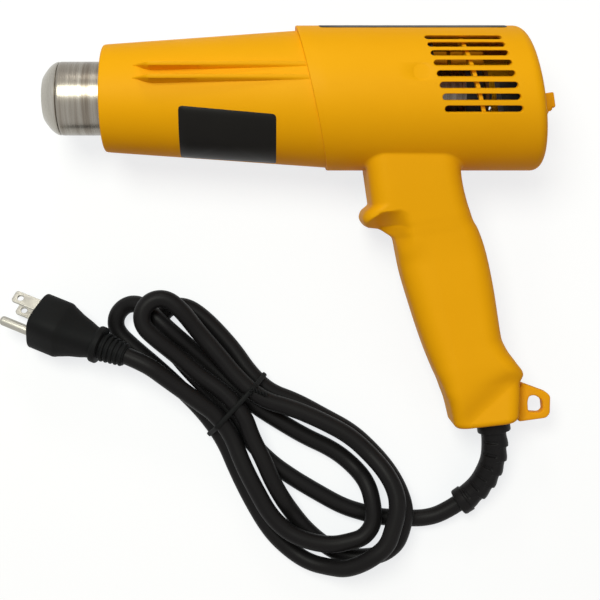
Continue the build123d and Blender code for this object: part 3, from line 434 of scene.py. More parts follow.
class Shader:
    """One material, and short ways to add nodes to it."""

    def __init__(self, name: str) -> None:
        """Makes the material with its own Principled shader.

        Args:
            name: The material's name.
        """
        self.material = bpy.data.materials.new(name)
        self.material.use_nodes = True
        self.tree = self.material.node_tree
        self.bsdf = self.tree.nodes["Principled BSDF"]

    def set(self, **values: Source) -> "Shader":
        """Sets plain values on the shader's own sockets, named with _ for spaces.

        Args:
            **values: The values by socket.

        Returns:
            The same shader.
        """
        for key, value in values.items():
            self.bsdf.inputs[key.replace("_", " ")].default_value = value
        return self

    def bump(self, strength: float, height: bpy.types.NodeSocket) -> bpy.types.NodeSocket:
        """Normal that a height gives.

        Args:
            strength: How strongly it shows.
            height: The height's socket.

        Returns:
            The normal's socket.
        """
        node = add_node(
            self.tree, "ShaderNodeBump", Strength=strength, Distance=BUMP_DEPTH, Height=height
        )
        return node.outputs["Normal"]

    def effect(self, group: bpy.types.NodeTree, **inputs: Source) -> bpy.types.Node:
        """Places a node group with its own values.

        Args:
            group: The node group.
            **inputs: Sockets or values by input.

        Returns:
            The group's node.
        """
        node = self.tree.nodes.new("ShaderNodeGroup")
        node.node_tree = group
        for key, value in inputs.items():
            fill(self.tree, node.inputs[key.replace("_", " ")], value)
        return node

    def feed(self, socket: str, value: bpy.types.NodeSocket) -> "Shader":
        """Links a socket into the shader."""
        self.tree.links.new(value, self.bsdf.inputs[socket])
        return self


def fill(
    tree: bpy.types.NodeTree, socket: bpy.types.NodeSocket, value: Source | None
) -> None:
    """Links a socket into another one, or sets a plain value on it.

    Args:
        tree: The tree that holds the socket.
        socket: The input.
        value: What goes in; None leaves it as it is.
    """
    if isinstance(value, bpy.types.NodeSocket):
        tree.links.new(value, socket)
    elif value is not None:
        socket.default_value = value


def add_node(
    tree: bpy.types.NodeTree, kind: str, **inputs: Source | str
) -> bpy.types.Node:
    """Adds a node to a tree; keys that start with p_ set its own options.

    Args:
        tree: The tree.
        kind: The node's type.
        **inputs: Sockets or values by input name with _ for spaces, or by i and a number.

    Returns:
        The node.
    """
    node = tree.nodes.new(kind)
    for key, value in inputs.items():
        if key.startswith("p_"):
            setattr(node, key[2:], value)
    for key, value in inputs.items():
        if key.startswith("p_"):
            continue
        name = int(key[1:]) if key[0] == "i" and key[1:].isdigit() else key.replace("_", " ")
        fill(tree, node.inputs[name], value)
    return node


def maths(
    tree: bpy.types.NodeTree, operation: str, *values: Source
) -> bpy.types.NodeSocket:
    """Result of a sum of numbers or sockets."""
    inputs = {f"i{k}": value for k, value in enumerate(values)}
    return add_node(tree, "ShaderNodeMath", p_operation=operation, **inputs).outputs[0]


def noise(
    tree: bpy.types.NodeTree, place: Source, scale: Source, detail: float
) -> bpy.types.NodeSocket:
    """Soft noise from 0 to 1."""
    node = add_node(tree, "ShaderNodeTexNoise", Vector=place, Scale=scale, Detail=detail)
    return node.outputs["Fac"]


def spread(
    tree: bpy.types.NodeTree, value: Source, **limits: Source
) -> bpy.types.NodeSocket:
    """Value taken from one range to another one."""
    return add_node(tree, "ShaderNodeMapRange", Value=value, **limits).outputs[0]


def blended(
    tree: bpy.types.NodeTree, share: Source, first: Source, second: Source,
    blend: str = "MIX",
) -> bpy.types.NodeSocket:
    """Colour between two others.

    Args:
        tree: The tree.
        share: How much there is of the second one.
        first: One colour.
        second: The other colour.
        blend: How they are blended.

    Returns:
        The blend's socket.
    """
    node = add_node(
        tree, "ShaderNodeMix", p_data_type="RGBA", p_blend_type=blend, Factor=share, i6=first,
        i7=second,
    )
    return node.outputs[2]


class Effects:
    """Shader node groups that several finishes share."""

    def __init__(self) -> None:
        """Builds every group once."""
        self.grain = self.moulded_grain()
        self.wear = self.soft_wear()
        self.brushing = self.brushed_bands()

    @staticmethod
    def start(name: str, ins: Sequence[tuple], outs: Sequence[str]) -> tuple:
        """Starts a group.

        Args:
            name: The group's name.
            ins: Name and default of each input; four numbers make it a colour.
            outs: Names of the outputs.

        Returns:
            The tree, its inputs and its object coordinates.
        """
        tree = bpy.data.node_groups.new(name, "ShaderNodeTree")
        for label, value in ins:
            kind = "NodeSocketColor" if isinstance(value, tuple) else "NodeSocketFloat"
            tree.interface.new_socket(label, in_out="INPUT", socket_type=kind).default_value = value
        for label in outs:
            kind = "NodeSocketColor" if label == "Color" else "NodeSocketFloat"
            tree.interface.new_socket(label, in_out="OUTPUT", socket_type=kind)
        given = tree.nodes.new("NodeGroupInput").outputs
        return tree, given, add_node(tree, "ShaderNodeTexCoord").outputs["Object"]

    @staticmethod
    def end(tree: bpy.types.NodeTree, **results: bpy.types.NodeSocket) -> bpy.types.NodeTree:
        """Links the results into the group's outputs."""
        add_node(tree, "NodeGroupOutput", **results)
        return tree

    def moulded_grain(self) -> bpy.types.NodeTree:
        """Fine pebbled texture of moulded plastic, with a slow unevenness of its sheen.

        Returns:
            The node group.
        """
        tree, given, place = self.start(
            "MouldedGrain",
            [("Size", 2600.0), ("Roughness", 0.4), ("Spread", 0.08), ("Tint", WHITE),
             ("Deep", WHITE)],
            ["Color", "Roughness", "Height"],
        )
        pebbles = add_node(tree, "ShaderNodeTexVoronoi", Vector=place, Scale=given["Size"])
        fine = noise(tree, place, given["Size"], detail=4.0)
        slow = noise(tree, place, 38.0, detail=5.0)
        return self.end(
            tree, Color=blended(tree, slow, given["Tint"], given["Deep"]),
            Roughness=maths(tree, "MULTIPLY_ADD", slow, given["Spread"], given["Roughness"]),
            Height=maths(tree, "ADD", pebbles.outputs["Distance"], fine),
        )

    def soft_wear(self) -> bpy.types.NodeTree:
        """Rubbed edges and faint scuffs laid over a colour and a roughness.

        Returns:
            The node group.
        """
        tree, given, place = self.start(
            "SoftWear",
            [("Color", WHITE), ("Worn", WHITE), ("Roughness", 0.4), ("Amount", 0.3)],
            ["Color", "Roughness"],
        )
        edge = add_node(tree, "ShaderNodeNewGeometry").outputs["Pointiness"]
        raised = spread(tree, edge, From_Min=0.53, From_Max=0.62)
        patchy = spread(tree, noise(tree, place, 210.0, detail=6.0), From_Min=0.42, From_Max=0.68)
        amount = maths(tree, "MULTIPLY", maths(tree, "MULTIPLY", raised, patchy), given["Amount"])
        return self.end(
            tree, Color=blended(tree, amount, given["Color"], given["Worn"]),
            Roughness=maths(tree, "MULTIPLY_ADD", amount, 0.25, given["Roughness"]),
        )

    def brushed_bands(self) -> bpy.types.NodeTree:
        """Fine turning marks round the barrel's axis, with a warm darker tint along it, which on
        the steel outlet and motor can is painted dark reflection.

        Returns:
            The node group.
        """
        tree, given, place = self.start(
            "BrushedBands",
            [("Steel", (0.6, 0.6, 0.58, 1)), ("Warm", (0.4, 0.3, 0.2, 1)), ("Warm Start", -0.12),
             ("Warm End", -0.09), ("Roughness", 0.3)],
            ["Color", "Roughness", "Height"],
        )
        squeeze = add_node(tree, "ShaderNodeMapping", Vector=place, Scale=(9000.0, 130.0, 130.0))
        lines = noise(tree, squeeze.outputs[0], 1.0, detail=3.0)
        wide = add_node(tree, "ShaderNodeMapping", Vector=place, Scale=(420.0, 12.0, 12.0))
        bands = noise(tree, wide.outputs[0], 1.0, detail=2.0)
        along = add_node(tree, "ShaderNodeSeparateXYZ", Vector=place).outputs["X"]
        # share of the warm darker tint along X; on the steel it is painted dark reflection from the
        # lip's groove back
        heat_and_reflection = spread(tree, along, From_Min=given["Warm Start"], From_Max=given["Warm End"])
        uneven = maths(tree, "MULTIPLY", heat_and_reflection, bands)
        tint = blended(tree, uneven, given["Steel"], given["Warm"])
        streak = spread(tree, lines, To_Min=0.78, To_Max=1.12)
        return self.end(
            tree, Color=blended(tree, 1.0, tint, streak, "MULTIPLY"), Height=lines,
            Roughness=maths(tree, "MULTIPLY_ADD", lines, 0.16, given["Roughness"]),
        )


@dataclass(frozen=True)
class Plastic:
    """Moulded plastic or rubber: two close tones, its grain, its sheen and its worn edges."""

    name: str
    tone: Point
    deep: Point
    worn: Point
    roughness: float = 0.4
    grain: float = 2600.0
    bump: float = 0.05
    shine: float = 0.3
    wear: float = 0.3

    def make(self, effects: Effects) -> bpy.types.Material:
        """Builds the material.

        Args:
            effects: The shared node groups.

        Returns:
            The material.
        """
        shader = Shader(self.name)
        grain = shader.effect(
            effects.grain, Size=self.grain, Roughness=self.roughness, Tint=(*self.tone, 1),
            Deep=(*self.deep, 1),
        )
        worn = shader.effect(
            effects.wear, Color=grain.outputs["Color"], Worn=(*self.worn, 1),
            Roughness=grain.outputs["Roughness"], Amount=self.wear,
        )
        bump = shader.bump(self.bump, grain.outputs["Height"])
        shader.feed("Base Color", worn.outputs["Color"])
        shader.feed("Roughness", worn.outputs["Roughness"]).feed("Normal", bump)
        shader.set(Specular_IOR_Level=self.shine, IOR=SOFT_IOR)
        return shader.material


@dataclass(frozen=True)
class Metal:
    """Worked metal with turning or drawing marks and a warm darker tint along the barrel, which on
    the steel is painted dark reflection.
    """

    name: str
    tone: Point
    warm: Point
    warm_start: float = -0.2
    warm_end: float = 0.4
    roughness: float = 0.3
    bump: float = 0.06

    def make(self, effects: Effects) -> bpy.types.Material:
        """Builds the material.

        Args:
            effects: The shared node groups.

        Returns:
            The material.
        """
        shader = Shader(self.name).set(Metallic=1.0)
        bands = shader.effect(
            effects.brushing, Steel=(*self.tone, 1), Warm=(*self.warm, 1),
            Warm_Start=self.warm_start, Warm_End=self.warm_end, Roughness=self.roughness,
        )
        bump = shader.bump(self.bump, bands.outputs["Height"])
        shader.feed("Base Color", bands.outputs["Color"])
        shader.feed("Roughness", bands.outputs["Roughness"]).feed("Normal", bump)
        return shader.material


class Finishes:
    """Every finish of the tool, by name."""

    def __init__(self) -> None:
        """Builds the shared effects and then each material."""
        effects = Effects()
        black = (0.006, 0.006, 0.007)
        kinds = [
            Plastic("yellow_plastic", (0.83, 0.42, 0.003), (0.79, 0.385, 0.002),
                    (0.88, 0.5, 0.03), 0.5, shine=0.16),
            Plastic("amber_plastic", (0.86, 0.405, 0.006), (0.82, 0.37, 0.004),
                    (0.86, 0.4, 0.03), 0.5, shine=0.16),
            Plastic("cord_rubber", black, (0.009, 0.009, 0.0095), (0.03, 0.03, 0.03), 0.4,
                    grain=1500.0, bump=0.1, shine=0.16, wear=0.2),
            Plastic("plug_rubber", (0.007, 0.008, 0.009), (0.01, 0.011, 0.012),
                    (0.03, 0.032, 0.034), 0.5, grain=2200.0, bump=0.12, shine=0.1,
                    wear=0.3),
            Plastic("label_vinyl", (0.008, 0.008, 0.008), (0.011, 0.011, 0.0105),
                    (0.04, 0.04, 0.04), 0.35, grain=900.0, bump=0.04, shine=0.14),
            Plastic("dark_plastic", (0.02, 0.02, 0.022), (0.03, 0.03, 0.03), (0.08, 0.08, 0.08)),
            Plastic("pale_plastic", (0.6, 0.57, 0.5), (0.52, 0.49, 0.42), (0.7, 0.68, 0.6)),
            Plastic("mica", (0.42, 0.34, 0.22), (0.3, 0.24, 0.15), (0.6, 0.55, 0.4), 0.25,
                    grain=500.0, bump=0.25),
            Plastic("board", (0.16, 0.075, 0.02), (0.12, 0.055, 0.015), (0.3, 0.2, 0.1), 0.35),
            # steel: the dark warm tint from the lip's groove back along the tube is painted dark
            # reflection
            Metal("steel", (0.42, 0.4, 0.355), (0.08, 0.05, 0.025), -0.1172, -0.1135, 0.2),
            Metal("heating_wire", (0.42, 0.38, 0.33), (0.3, 0.2, 0.14), roughness=0.4),
            Metal("screw_steel", (0.5, 0.5, 0.5), (0.4, 0.38, 0.34), roughness=0.3),
            Metal("pin_brass", (0.4, 0.385, 0.34), (0.33, 0.3, 0.24), roughness=0.3),
        ]
        self.made = {kind.name: kind.make(effects) for kind in kinds}

    def put(self, piece: bpy.types.Object, name: str) -> bpy.types.Object:
        """Gives a piece one finish.

        Args:
            piece: The piece.
            name: The finish's name.

        Returns:
            The same piece.
        """
        piece.data.materials.clear()
        piece.data.materials.append(self.made[name])
        return piece


def finish_piece(
    piece: bpy.types.Object, finishes: Finishes, finish: str, body: Body, nodes: Sequence[str] = (),
) -> bpy.types.Object:
    """Dresses a finished piece and fastens it to its body.

    Args:
        piece: The piece, its place in its mesh.
        finishes: All finishes.
        finish: The finish it gets.
        body: The body it moves with.
        nodes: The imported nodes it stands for.

    Returns:
        The piece.
    """
    finishes.put(piece, finish)
    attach(piece, body.value)
    if nodes:
        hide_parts(*nodes)
    LOG.info("%s: %d faces on %s", piece.name, len(getattr(piece.data, "polygons", [])), body.value)
    return piece


# The studio


@dataclass
class Studio:
    """Pale floor, soft lamps and the camera over the tool."""

    eye: Point = (-18.45, -33.0, 574.3)
    lens: float = 67.3
    sensor: float = 36.0
    shift: float = 0.0617
    floor_half: float = 7000.0
    floor_tone: Point = (0.27, 0.27, 0.27)
    floor_bounce: Point = (0.4, 0.25, 0.13)
    floor_glow: Point = (0.945, 0.975, 1)
    floor_lift: float = 0.79
    surround: Point = (1.0, 0.68, 0.44)
    ambient: float = 0.27
    lamp_table: Sequence[tuple] = (
        # name, place, aim, size in metres, colour, power
        ("key", (-260, 320, 1010), (0, -20, 20), 0.5, (0.98, 1.0, 0.9), 8.1),
        ("strip", (-60, 1000, 560), (0, 40, 40), 0.26, (1.0, 0.97, 0.9), 1.8),
        ("fill", (500, -500, 800), (0, 0, 0), 0.9, (1.0, 0.93, 0.86), 0.9),
    )

    def camera(self) -> None:
        """Looks straight down, the tool a little to one side as in the picture."""
        data = bpy.data.cameras.new("camera")
        data.lens = self.lens
        data.sensor_width = self.sensor
        data.shift_x = self.shift
        data.clip_start, data.clip_end = 0.01, 20.0
        camera = placed("camera", data)
        camera.location = [c * MM for c in self.eye]
        bpy.context.scene.camera = camera

    def floor(self) -> None:
        """White floor that keeps the tool's shadow."""
        shader = Shader("floor_white").set(Roughness=0.9, Specular_IOR_Level=0.1)
        tree = shader.tree
        path = add_node(tree, "ShaderNodeLightPath").outputs
        seen = maths(tree, "MAXIMUM", path["Is Camera Ray"], path["Is Glossy Ray"])
        tone = blended(tree, seen, (*self.floor_bounce, 1), (*self.floor_tone, 1))
        shader.feed("Base Color", tone).set(Emission_Color=(*self.floor_glow, 1))
        shader.feed("Emission Strength", maths(tree, "MULTIPLY", seen, self.floor_lift))
        xs = np.linspace(-self.floor_half, self.floor_half, 9)
        rows = np.array([[(x, y, 0.0) for y in xs] for x in xs])
        floor = Solid().grid(rows, closed=False, caps=False).build("floor")
        floor.data.materials.append(shader.material)
        for face in floor.data.polygons:
            if face.normal.z < 0:
                face.flip()

    def lamps(self) -> None:
        """A soft key high at the upper left, a low strip above the barrel and a faint fill."""
        for name, at, to, size, tint, power in self.lamp_table:
            data = bpy.data.lights.new(name, "AREA")
            data.shape, data.size = "DISK", size
            data.energy, data.color = power, tint
            lamp = placed(name, data)
            lamp.location = Vector(at) * MM
            way = (Vector(to) - Vector(at)).normalized()
            lamp.rotation_euler = way.to_track_quat("-Z", "Y").to_euler()

    def world(self) -> None:
        """Warm grey surroundings that look white to the camera and in metal."""
        world = bpy.data.worlds.new("world")
        world.use_nodes = True
        tree = world.node_tree
        path = add_node(tree, "ShaderNodeLightPath").outputs
        seen = maths(tree, "MAXIMUM", path["Is Camera Ray"], path["Is Transmission Ray"])
        shiny = maths(tree, "MAXIMUM", seen, path["Is Glossy Ray"])
        dim = (*[c * self.ambient for c in self.surround], 1)
        back = tree.nodes["Background"].inputs
        tree.links.new(blended(tree, shiny, dim, WHITE), back["Color"])
        back["Strength"].default_value = 1.0
        bpy.context.scene.world = world

    def build(self) -> None:
        """Sets the whole stage."""
        self.camera()
        self.floor()
        self.lamps()
        self.world()
        bpy.context.scene.view_settings.view_transform = "Standard"


# The cord


@dataclass
class Cord:
    """One length of round rubber cord from the butt through the hank to the plug."""

    diameter: float = 8.6
    length: float = 1387.0
    exit_place: float = 164.4
    offset: float = 20.6
    smoothness: int = 10
    start: Sequence[Point] = field(default_factory=lambda: [
        tuple(TOOL.grip(166.2, 20.6, 0.0)), tuple(TOOL.grip(171.6, 20.6, 0.0)),
        (96.9, -111.5, 14.9), (94.7, -118.8, 12.7), (91.2, -125.8, 10.4), (86.0, -131.4, 8.3),
        (79.6, -136.05, 7.1), (74.75, -139.2, 6.3), (68.6, -142.4, 5.3), (61.0, -143.87, 4.42),
        (53.01, -143.58, 4.42),
    ])
    turns: Sequence[Point] = (
        (40.49, -143.13, 4.42), (32.91, -141.04, 4.42), (21.77, -137.68, 4.42),
        (8.33, -130.19, 4.42), (-3.73, -123.01, 4.42), (-14.11, -115.72, 4.51),
        (-23.46, -106.44, 4.91), (-31.04, -95.07, 5.6), (-39.81, -84.32, 5.6),
        (-50.09, -74.77, 5.14), (-58.36, -65.97, 4.9), (-64.56, -58, 4.42),
        (-70.46, -50.77, 4.42), (-71.24, -42.25, 4.42), (-65.43, -35.97, 4.42),
        (-56.87, -36.08, 4.42), (-48.82, -41.67, 4.42), (-40.98, -49.46, 4.39),
        (-32.99, -58.57, 4.63), (-25.52, -69.41, 5.6), (-15.62, -79.23, 5.6),
        (-1.83, -84.25, 4.6), (11.8, -91.73, 4.6), (26.25, -99.49, 4.38),
        (36.83, -109.28, 5.83), (44.59, -118.34, 9.81), (50.16, -128.29, 11.63),
        (52.91, -138.23, 13.8), (51.12, -147.63, 13.8), (48.3, -155.53, 11.84),
        (41.49, -161.09, 9.65), (33.38, -163.48, 5.27), (24.52, -163.36, 4.39),
        (16.96, -159.99, 4.4), (9.4, -154.75, 4.4), (2.02, -147.87, 5.3),
        (-3.96, -139.99, 7.08), (-8.67, -132.62, 11.91), (-13.96, -123.16, 13.43),
        (-18.53, -112.2, 14.48), (-23.98, -101.61, 14.72), (-27.85, -90.35, 15.1),
        (-37.08, -79.44, 15.1), (-50.88, -70.1, 15.53), (-61.43, -60.34, 17.4),
        (-70.53, -52.88, 21.09), (-77.9, -46.06, 22.09), (-78.29, -38.24, 22.6),
        (-72.96, -32.48, 22.6), (-65.14, -32.26, 22.09), (-57.62, -39.21, 21.07),
        (-50.88, -48.62, 15.72), (-41.22, -59.65, 14.99), (-30.73, -72.52, 14.5),
        (-18.72, -82.87, 14.5), (-4.18, -86.84, 13.8), (10.4, -92.97, 13.8),
        (25.03, -100.68, 14.24), (35.35, -110.22, 15.36), (42.52, -118.42, 19.46),
        (47.17, -127.45, 21.49), (48.02, -136.38, 22.8), (45.69, -145.22, 22.8),
        (42.8, -153.97, 22.75), (36.19, -159.76, 21.69), (29.6, -164.21, 18.71),
        (22.07, -167.13, 15.64), (14.81, -167.22, 10.69), (5.63, -165.8, 7.35),
        (-3.68, -160.76, 4.61), (-14.55, -150.7, 4.31), (-24.15, -134.67, 4.4),
        (-31.85, -119.05, 4.4), (-37.91, -104.14, 5.6), (-47.36, -90.76, 5.6),
        (-59.06, -79.02, 4.5), (-71.22, -67.77, 4.5), (-83.87, -57.16, 4.33),
        (-92.85, -48.85, 4.58), (-93.12, -41.01, 5.97), (-87.64, -35.09, 7.26),
        (-79.99, -34.87, 10.67), (-75.19, -39.31, 12.5), (-71.32, -42.34, 14.2),
        (-64, -49.11, 14.2), (-54.05, -58.04, 8.01), (-43.64, -67.67, 5.45),
        (-33.36, -77.25, 5.6), (-22.65, -86.47, 5.6), (-10.73, -94.13, 4.6),
        (2.48, -102, 4.6), (17.49, -108.92, 4.21), (28.34, -117.64, 5.89),
        (34.29, -125.37, 11.98), (36.65, -135.42, 13.84), (36.92, -144.9, 14),
        (31.88, -151.65, 14), (24.83, -153.79, 13.8), (16.93, -155.36, 13.8),
        (8.23, -154.45, 13.8), (0.04, -151.99, 13.8), (-7.32, -148.06, 13.2),
        (-15.1, -140.34, 13.2), (-21.65, -128.49, 13.86), (-28.45, -115.28, 14.16),
        (-34.24, -100.19, 13.54), (-42.18, -89.75, 15.11), (-50.22, -83.76, 17.29),
    )
    end: Sequence[Point] = (
        (-61.04, -75.67, 19.72), (-67.35, -70.96, 21.14), (-75.98, -64.41, 22.92),
        (-86.1, -60.46, 21.2),
    )

    def spline(self, name: str, points: Sequence[Point], radius: float) -> bpy.types.Object:
        """One open NURBS curve over the given corner points.

        Args:
            name: The object's name.
            points: Corner points in millimetres.
            radius: The tube's radius in millimetres, or 0 for a bare line.

        Returns:
            The curve object.
        """
        data = bpy.data.curves.new(name, "CURVE")
        data.dimensions = "3D"
        data.resolution_u = self.smoothness
        data.bevel_depth = radius * MM
        data.bevel_resolution = 7
        line = data.splines.new("NURBS")
        line.points.add(len(points) - 1)
        for corner, place in zip(line.points, points):
            corner.co = (*[float(c) * MM for c in place], 1)
        line.order_u = 3
        line.use_endpoint_u = True
        return placed(name, data)

    def line(self, points: Sequence[Point]) -> np.ndarray:
        """Points of the smooth line itself, in millimetres.

        Args:
            points: Corner points in millimetres.

        Returns:
            Array of points.
        """
        curve = self.spline("line_probe", points, 0)
        mesh = evaluated(curve)
        places = np.array([v.co[:] for v in mesh.vertices]) / MM
        bpy.data.meshes.remove(mesh)
        bpy.data.objects.remove(curve)
        return places

    def build(self, finishes: Finishes) -> bpy.types.Object:
        """Lays the whole cord.

        Args:
            finishes: All finishes.

        Returns:
            The dressed curve.
        """
        points = [*self.start, *self.turns, *self.end]
        curve = self.spline("cord", points, self.diameter / 2)
        curve.data.use_fill_caps = True
        nodes = ("cord_lead_gun", "cord_hank", "cord_lead_plug")
        return finish_piece(curve, finishes, "cord_rubber", Body.TOOL, nodes)

    def declare(self) -> None:
        """Works out where the cord leaves the butt, in metres, and keeps nothing.
        """
        [float(c) * MM for c in TOOL.grip(self.exit_place, self.offset, 0.0)]


def along_line(
    line: np.ndarray, profile: Sequence[tuple[float, float]], columns: int
) -> np.ndarray:
    """Rows of circles along a line.

    Args:
        line: Points of the line in millimetres.
        profile: Pairs of length along the line and radius there.
        columns: Points round each circle.

    Returns:
        Array of rows by columns by 3.
    """
    reach, angle, step = lengths(line), around(columns), 0.8
    rows = []
    for s, r in profile:
        before, at, after = (
            np.array([np.interp(place, reach, line[:, k]) for k in range(3)])
            for place in (s - step, s, s + step)
        )
        way = after - before
        way /= np.linalg.norm(way)
        side = np.cross(way, (0, 0, 1.0))
        side /= np.linalg.norm(side)
        up = np.cross(side, way)
        rows.append(at + r * (np.outer(np.cos(angle), side) + np.outer(np.sin(angle), up)))
    return np.array(rows)


# The housing


@dataclass
class Housing:
    """The two clamshell halves: barrel, neck, finger ledge, grip and butt, with their vents."""

    wall: float = 2.6
    rear_round: float = 5.0
    columns: int = 192
    fillet: float = 2.2
    length: float = 164.4
    end: float = 161.8
    end_round: float = 3.0
    grip_start: float = 44.0
    row_step: float = 0.6
    depth: float = 40.0
    parting: float = 0.07
    corner_steps: int = 13
    flat_steps: tuple[int, ...] = (44, 14, 44, 14)
    mark: tuple[float, float] = (53.3, radians(17.0))
    ridge: tuple[tuple[float, float], ...] = ((139.4, 34.6), (158.7, 7.9))
    # how deep crease, hollow and valley go, in shares of the half thickness
    depths: tuple[float, ...] = (0.15, 0.72, 0.17)
    # shares down the grip where the crease starts and ends
    crease_rise: tuple[float, float] = (0.40, 0.48)
    crease_fade: tuple[float, float] = (0.78, 0.90)
    # the ledge's lower edge, straight between two places and bent beyond them
    ledge_edge: float = 51.4
    ledge_straight: tuple[float, float] = (-22.0, -13.0)
    hollow_slope: float = 7.5
    hollow_fade: tuple[float, float] = (61.0, 74.0)
    hollow_back: float = -7.0
    valley_above: float = 8.0
    valley_below: float = 13.0
    valley_rise: tuple[float, float] = (132.0, 142.0)
    vent_count: int = 8
    vent_size: tuple[float, float] = (35.4, 3.0)
    vent_first: float = -11.7
    vent_step: float = 8.9
    vent_place: float = 75.45
    vent_slant: float = 13.6
    # how far a slot's draw turns from its own angle, down on the left flank and up on the right
    near_draw: float = radians(40.0)
    far_draw: float = radians(30.0)
    lowest_draw: float = radians(-12.0)
    # two corners along the rear wall, across it and out of it
    rear_slot_corners: tuple[Point, Point] = ((-8.6, -1.8, -8.0), (6.4, 1.8, 6.0))
    web_half: float = 0.9
    web_depth: float = 3.0
    web_run_out: float = 5.0
    post_radius: float = 4.0
    post_ends: tuple[float, float] = (-0.5, -40.0)
    screw_hole: float = 1.65
    head_hole: float = 3.0
    head_seat: float = -9.0
    grip_posts: Sequence[tuple[float, float]] = ((36.0, -18.0), (62.0, 12.0), (149.0, 6.5))
    # share down the grip, then front, back, half thickness and corner in shares of the depth
    sections: Sequence[tuple[float, ...]] = (
        (0.091, -0.630, 0.470, 0.562, 0.225), (0.243, -0.637, 0.462, 0.515, 0.225),
        (0.288, -0.637, 0.475, 0.493, 0.225), (0.307, -0.737, 0.487, 0.483, 0.230),
        (0.325, -0.768, 0.500, 0.473, 0.235), (0.353, -0.715, 0.525, 0.458, 0.235),
        (0.363, -0.583, 0.533, 0.451, 0.235), (0.378, -0.497, 0.550, 0.442, 0.235),
        (0.401, -0.408, 0.590, 0.428, 0.235), (0.487, -0.385, 0.665, 0.404, 0.250),
        (0.608, -0.312, 0.700, 0.400, 0.250), (0.730, -0.215, 0.710, 0.410, 0.240),
        (0.769, -0.175, 0.755, 0.418, 0.230), (0.809, -0.130, 0.840, 0.425, 0.210),
        (0.848, -0.080, 0.915, 0.425, 0.190), (0.872, -0.058, 0.862, 0.425, 0.180),
        (0.911, -0.023, 0.838, 0.425, 0.180), (1.000, 0.008, 0.765, 0.425, 0.175),
    )

    def plane_x(self, v: Numbers, x: float, slant: float) -> np.ndarray:
        """Place along the barrel of a slanted end at height v."""
        return x - v * tan(slant)

    def barrel(self, inset: float) -> bpy.types.Object:
        """Closed barrel drum; with an inset, the hollow inside it.

        Args:
            inset: How far the skin is drawn in.

        Returns:
            The drum.
        """
        angle = around(self.columns)
        radius = TOOL.radius - inset
        rear_x = TOOL.rear_x - (inset / cos(TOOL.rear_slant) if inset else 0)
        curve = self.rear_round - inset
        rows = []

        def ring(r: float, x: float, slant: float, push: float) -> None:
            """Adds a circle on a slanted plane, pushed back along the barrel."""
            v, w = r * np.cos(angle), r * np.sin(angle)
            rows.append(TOOL.point(self.plane_x(v, x, slant) + push, v, w))

        front_edge = ((6.0, 0), (radius - 0.5, 0), (radius - 0.15, 0.12), (radius, 0.5))
        for r, push in ((6.0, -6.0), (radius, -6.0)) if inset else front_edge:
            ring(r, TOOL.seam_x, TOOL.seam_slant, push)
        for share in np.linspace(0.08, 0.92, 9):
            v, w = radius * np.cos(angle), radius * np.sin(angle)
            front = self.plane_x(v, TOOL.seam_x, TOOL.seam_slant)
            back = self.plane_x(v, rear_x, TOOL.rear_slant) - curve
            rows.append(TOOL.point(front + (back - front) * share, v, w))
        for k in range(9):
            a = k * pi / 16
            ring(radius - curve * (1 - cos(a)), rear_x, TOOL.rear_slant, curve * (sin(a) - 1))
        for r in (radius * 0.6, radius * 0.25):
            ring(r, rear_x, TOOL.rear_slant, 0)
        return skin("drum", rows)

    def outline(self, t: np.ndarray, inset: np.ndarray | float = 0.0) -> tuple[np.ndarray, ...]:
        """Rounded section of the grip.

        Args:
            t: Place down the grip for each column.
            inset: How far the section is drawn in.

        Returns:
            Arrays of e, w and the outward direction's parts along e and w.
        """
        table = np.array(self.sections)
        share = t / self.length
        front, back, half, corner = (
            through(table[:, 0], table[:, k], share) * self.depth for k in range(1, 5)
        )
        front, back, half = front + inset, back - inset, half - inset
        corner = np.maximum(corner - inset, 1.5)
        kinds, spots = self.section_columns()
        sign_e = np.array([1, -1, -1, 1])[kinds]
        sign_w = np.array([1, 1, -1, -1])[kinds]
        turn = kinds * pi / 2 + spots * pi / 2
        mid_e, half_e = (front + back) / 2, (back - front) / 2
        ne, nw = np.cos(turn), np.sin(turn)
        e = mid_e + sign_e * (half_e - corner) + corner * ne
        w = sign_w * (half - corner) + corner * nw
        return e, w, ne, nw

    def section_columns(self) -> tuple[np.ndarray, np.ndarray]:
        """Corner number and place round that corner for each column of a section."""
        steps = self.corner_steps
        return np.repeat(np.arange(4), steps), np.tile(np.linspace(0, 1, steps), 4)

    def crease(self, t: np.ndarray, e: np.ndarray) -> np.ndarray:
        """Share of the soft crease that slims the grip's front flank.

        Args:
            t: Place down the grip.
            e: Place behind the grip's centre line.

        Returns:
            How much of the depth is taken, from 0 to 1.
        """
        share = t / self.length
        start = self.depth * (-0.02 + 0.34 * (share - 0.42))
        front = np.clip((start - e) / (0.42 * self.depth), 0, 1)
        return ramp(share, *self.crease_rise) * (1 - ramp(share, *self.crease_fade)) * front

    def ledge_hollow(self, t: np.ndarray, e: np.ndarray) -> np.ndarray:
        """Share of the hollow for the finger, below the bent edge of the ledge.

        Args:
            t: Place down the grip.
            e: Place behind the grip's centre line.

        Returns:
            How much of the depth is taken, from 0 to 1.
        """
        front, back = self.ledge_straight
        bend = np.clip(front - e, 0, 12) * 0.52
        edge = self.ledge_edge + bend + np.clip(e - back, 0, 12) * 0.5
        down = np.clip((t - edge) / self.hollow_slope, 0, 1)
        down = down * (1 - ramp(t, *self.hollow_fade))
        return down * (1 - ramp(e, front, self.hollow_back))

    def butt_valley(self, t: np.ndarray, e: np.ndarray) -> np.ndarray:
        """Share of the valley along the ridge line, steep above it and a facet below it.

        Args:
            t: Place down the grip.
            e: Place behind the grip's centre line.

        Returns:
            How much of the depth is taken, from 0 to 1.
        """
        (t0, e0), (t1, e1) = self.ridge
        run = sqrt((t1 - t0) ** 2 + (e1 - e0) ** 2)
        off = ((t - t0) * (e1 - e0) - (e - e0) * (t1 - t0)) / run
        steep = np.exp(-((off / self.valley_above) ** 2))
        facet = np.clip(1 + off / self.valley_below, 0, 1)
        return np.where(off > 0, steep, facet) * ramp(t, *self.valley_rise)

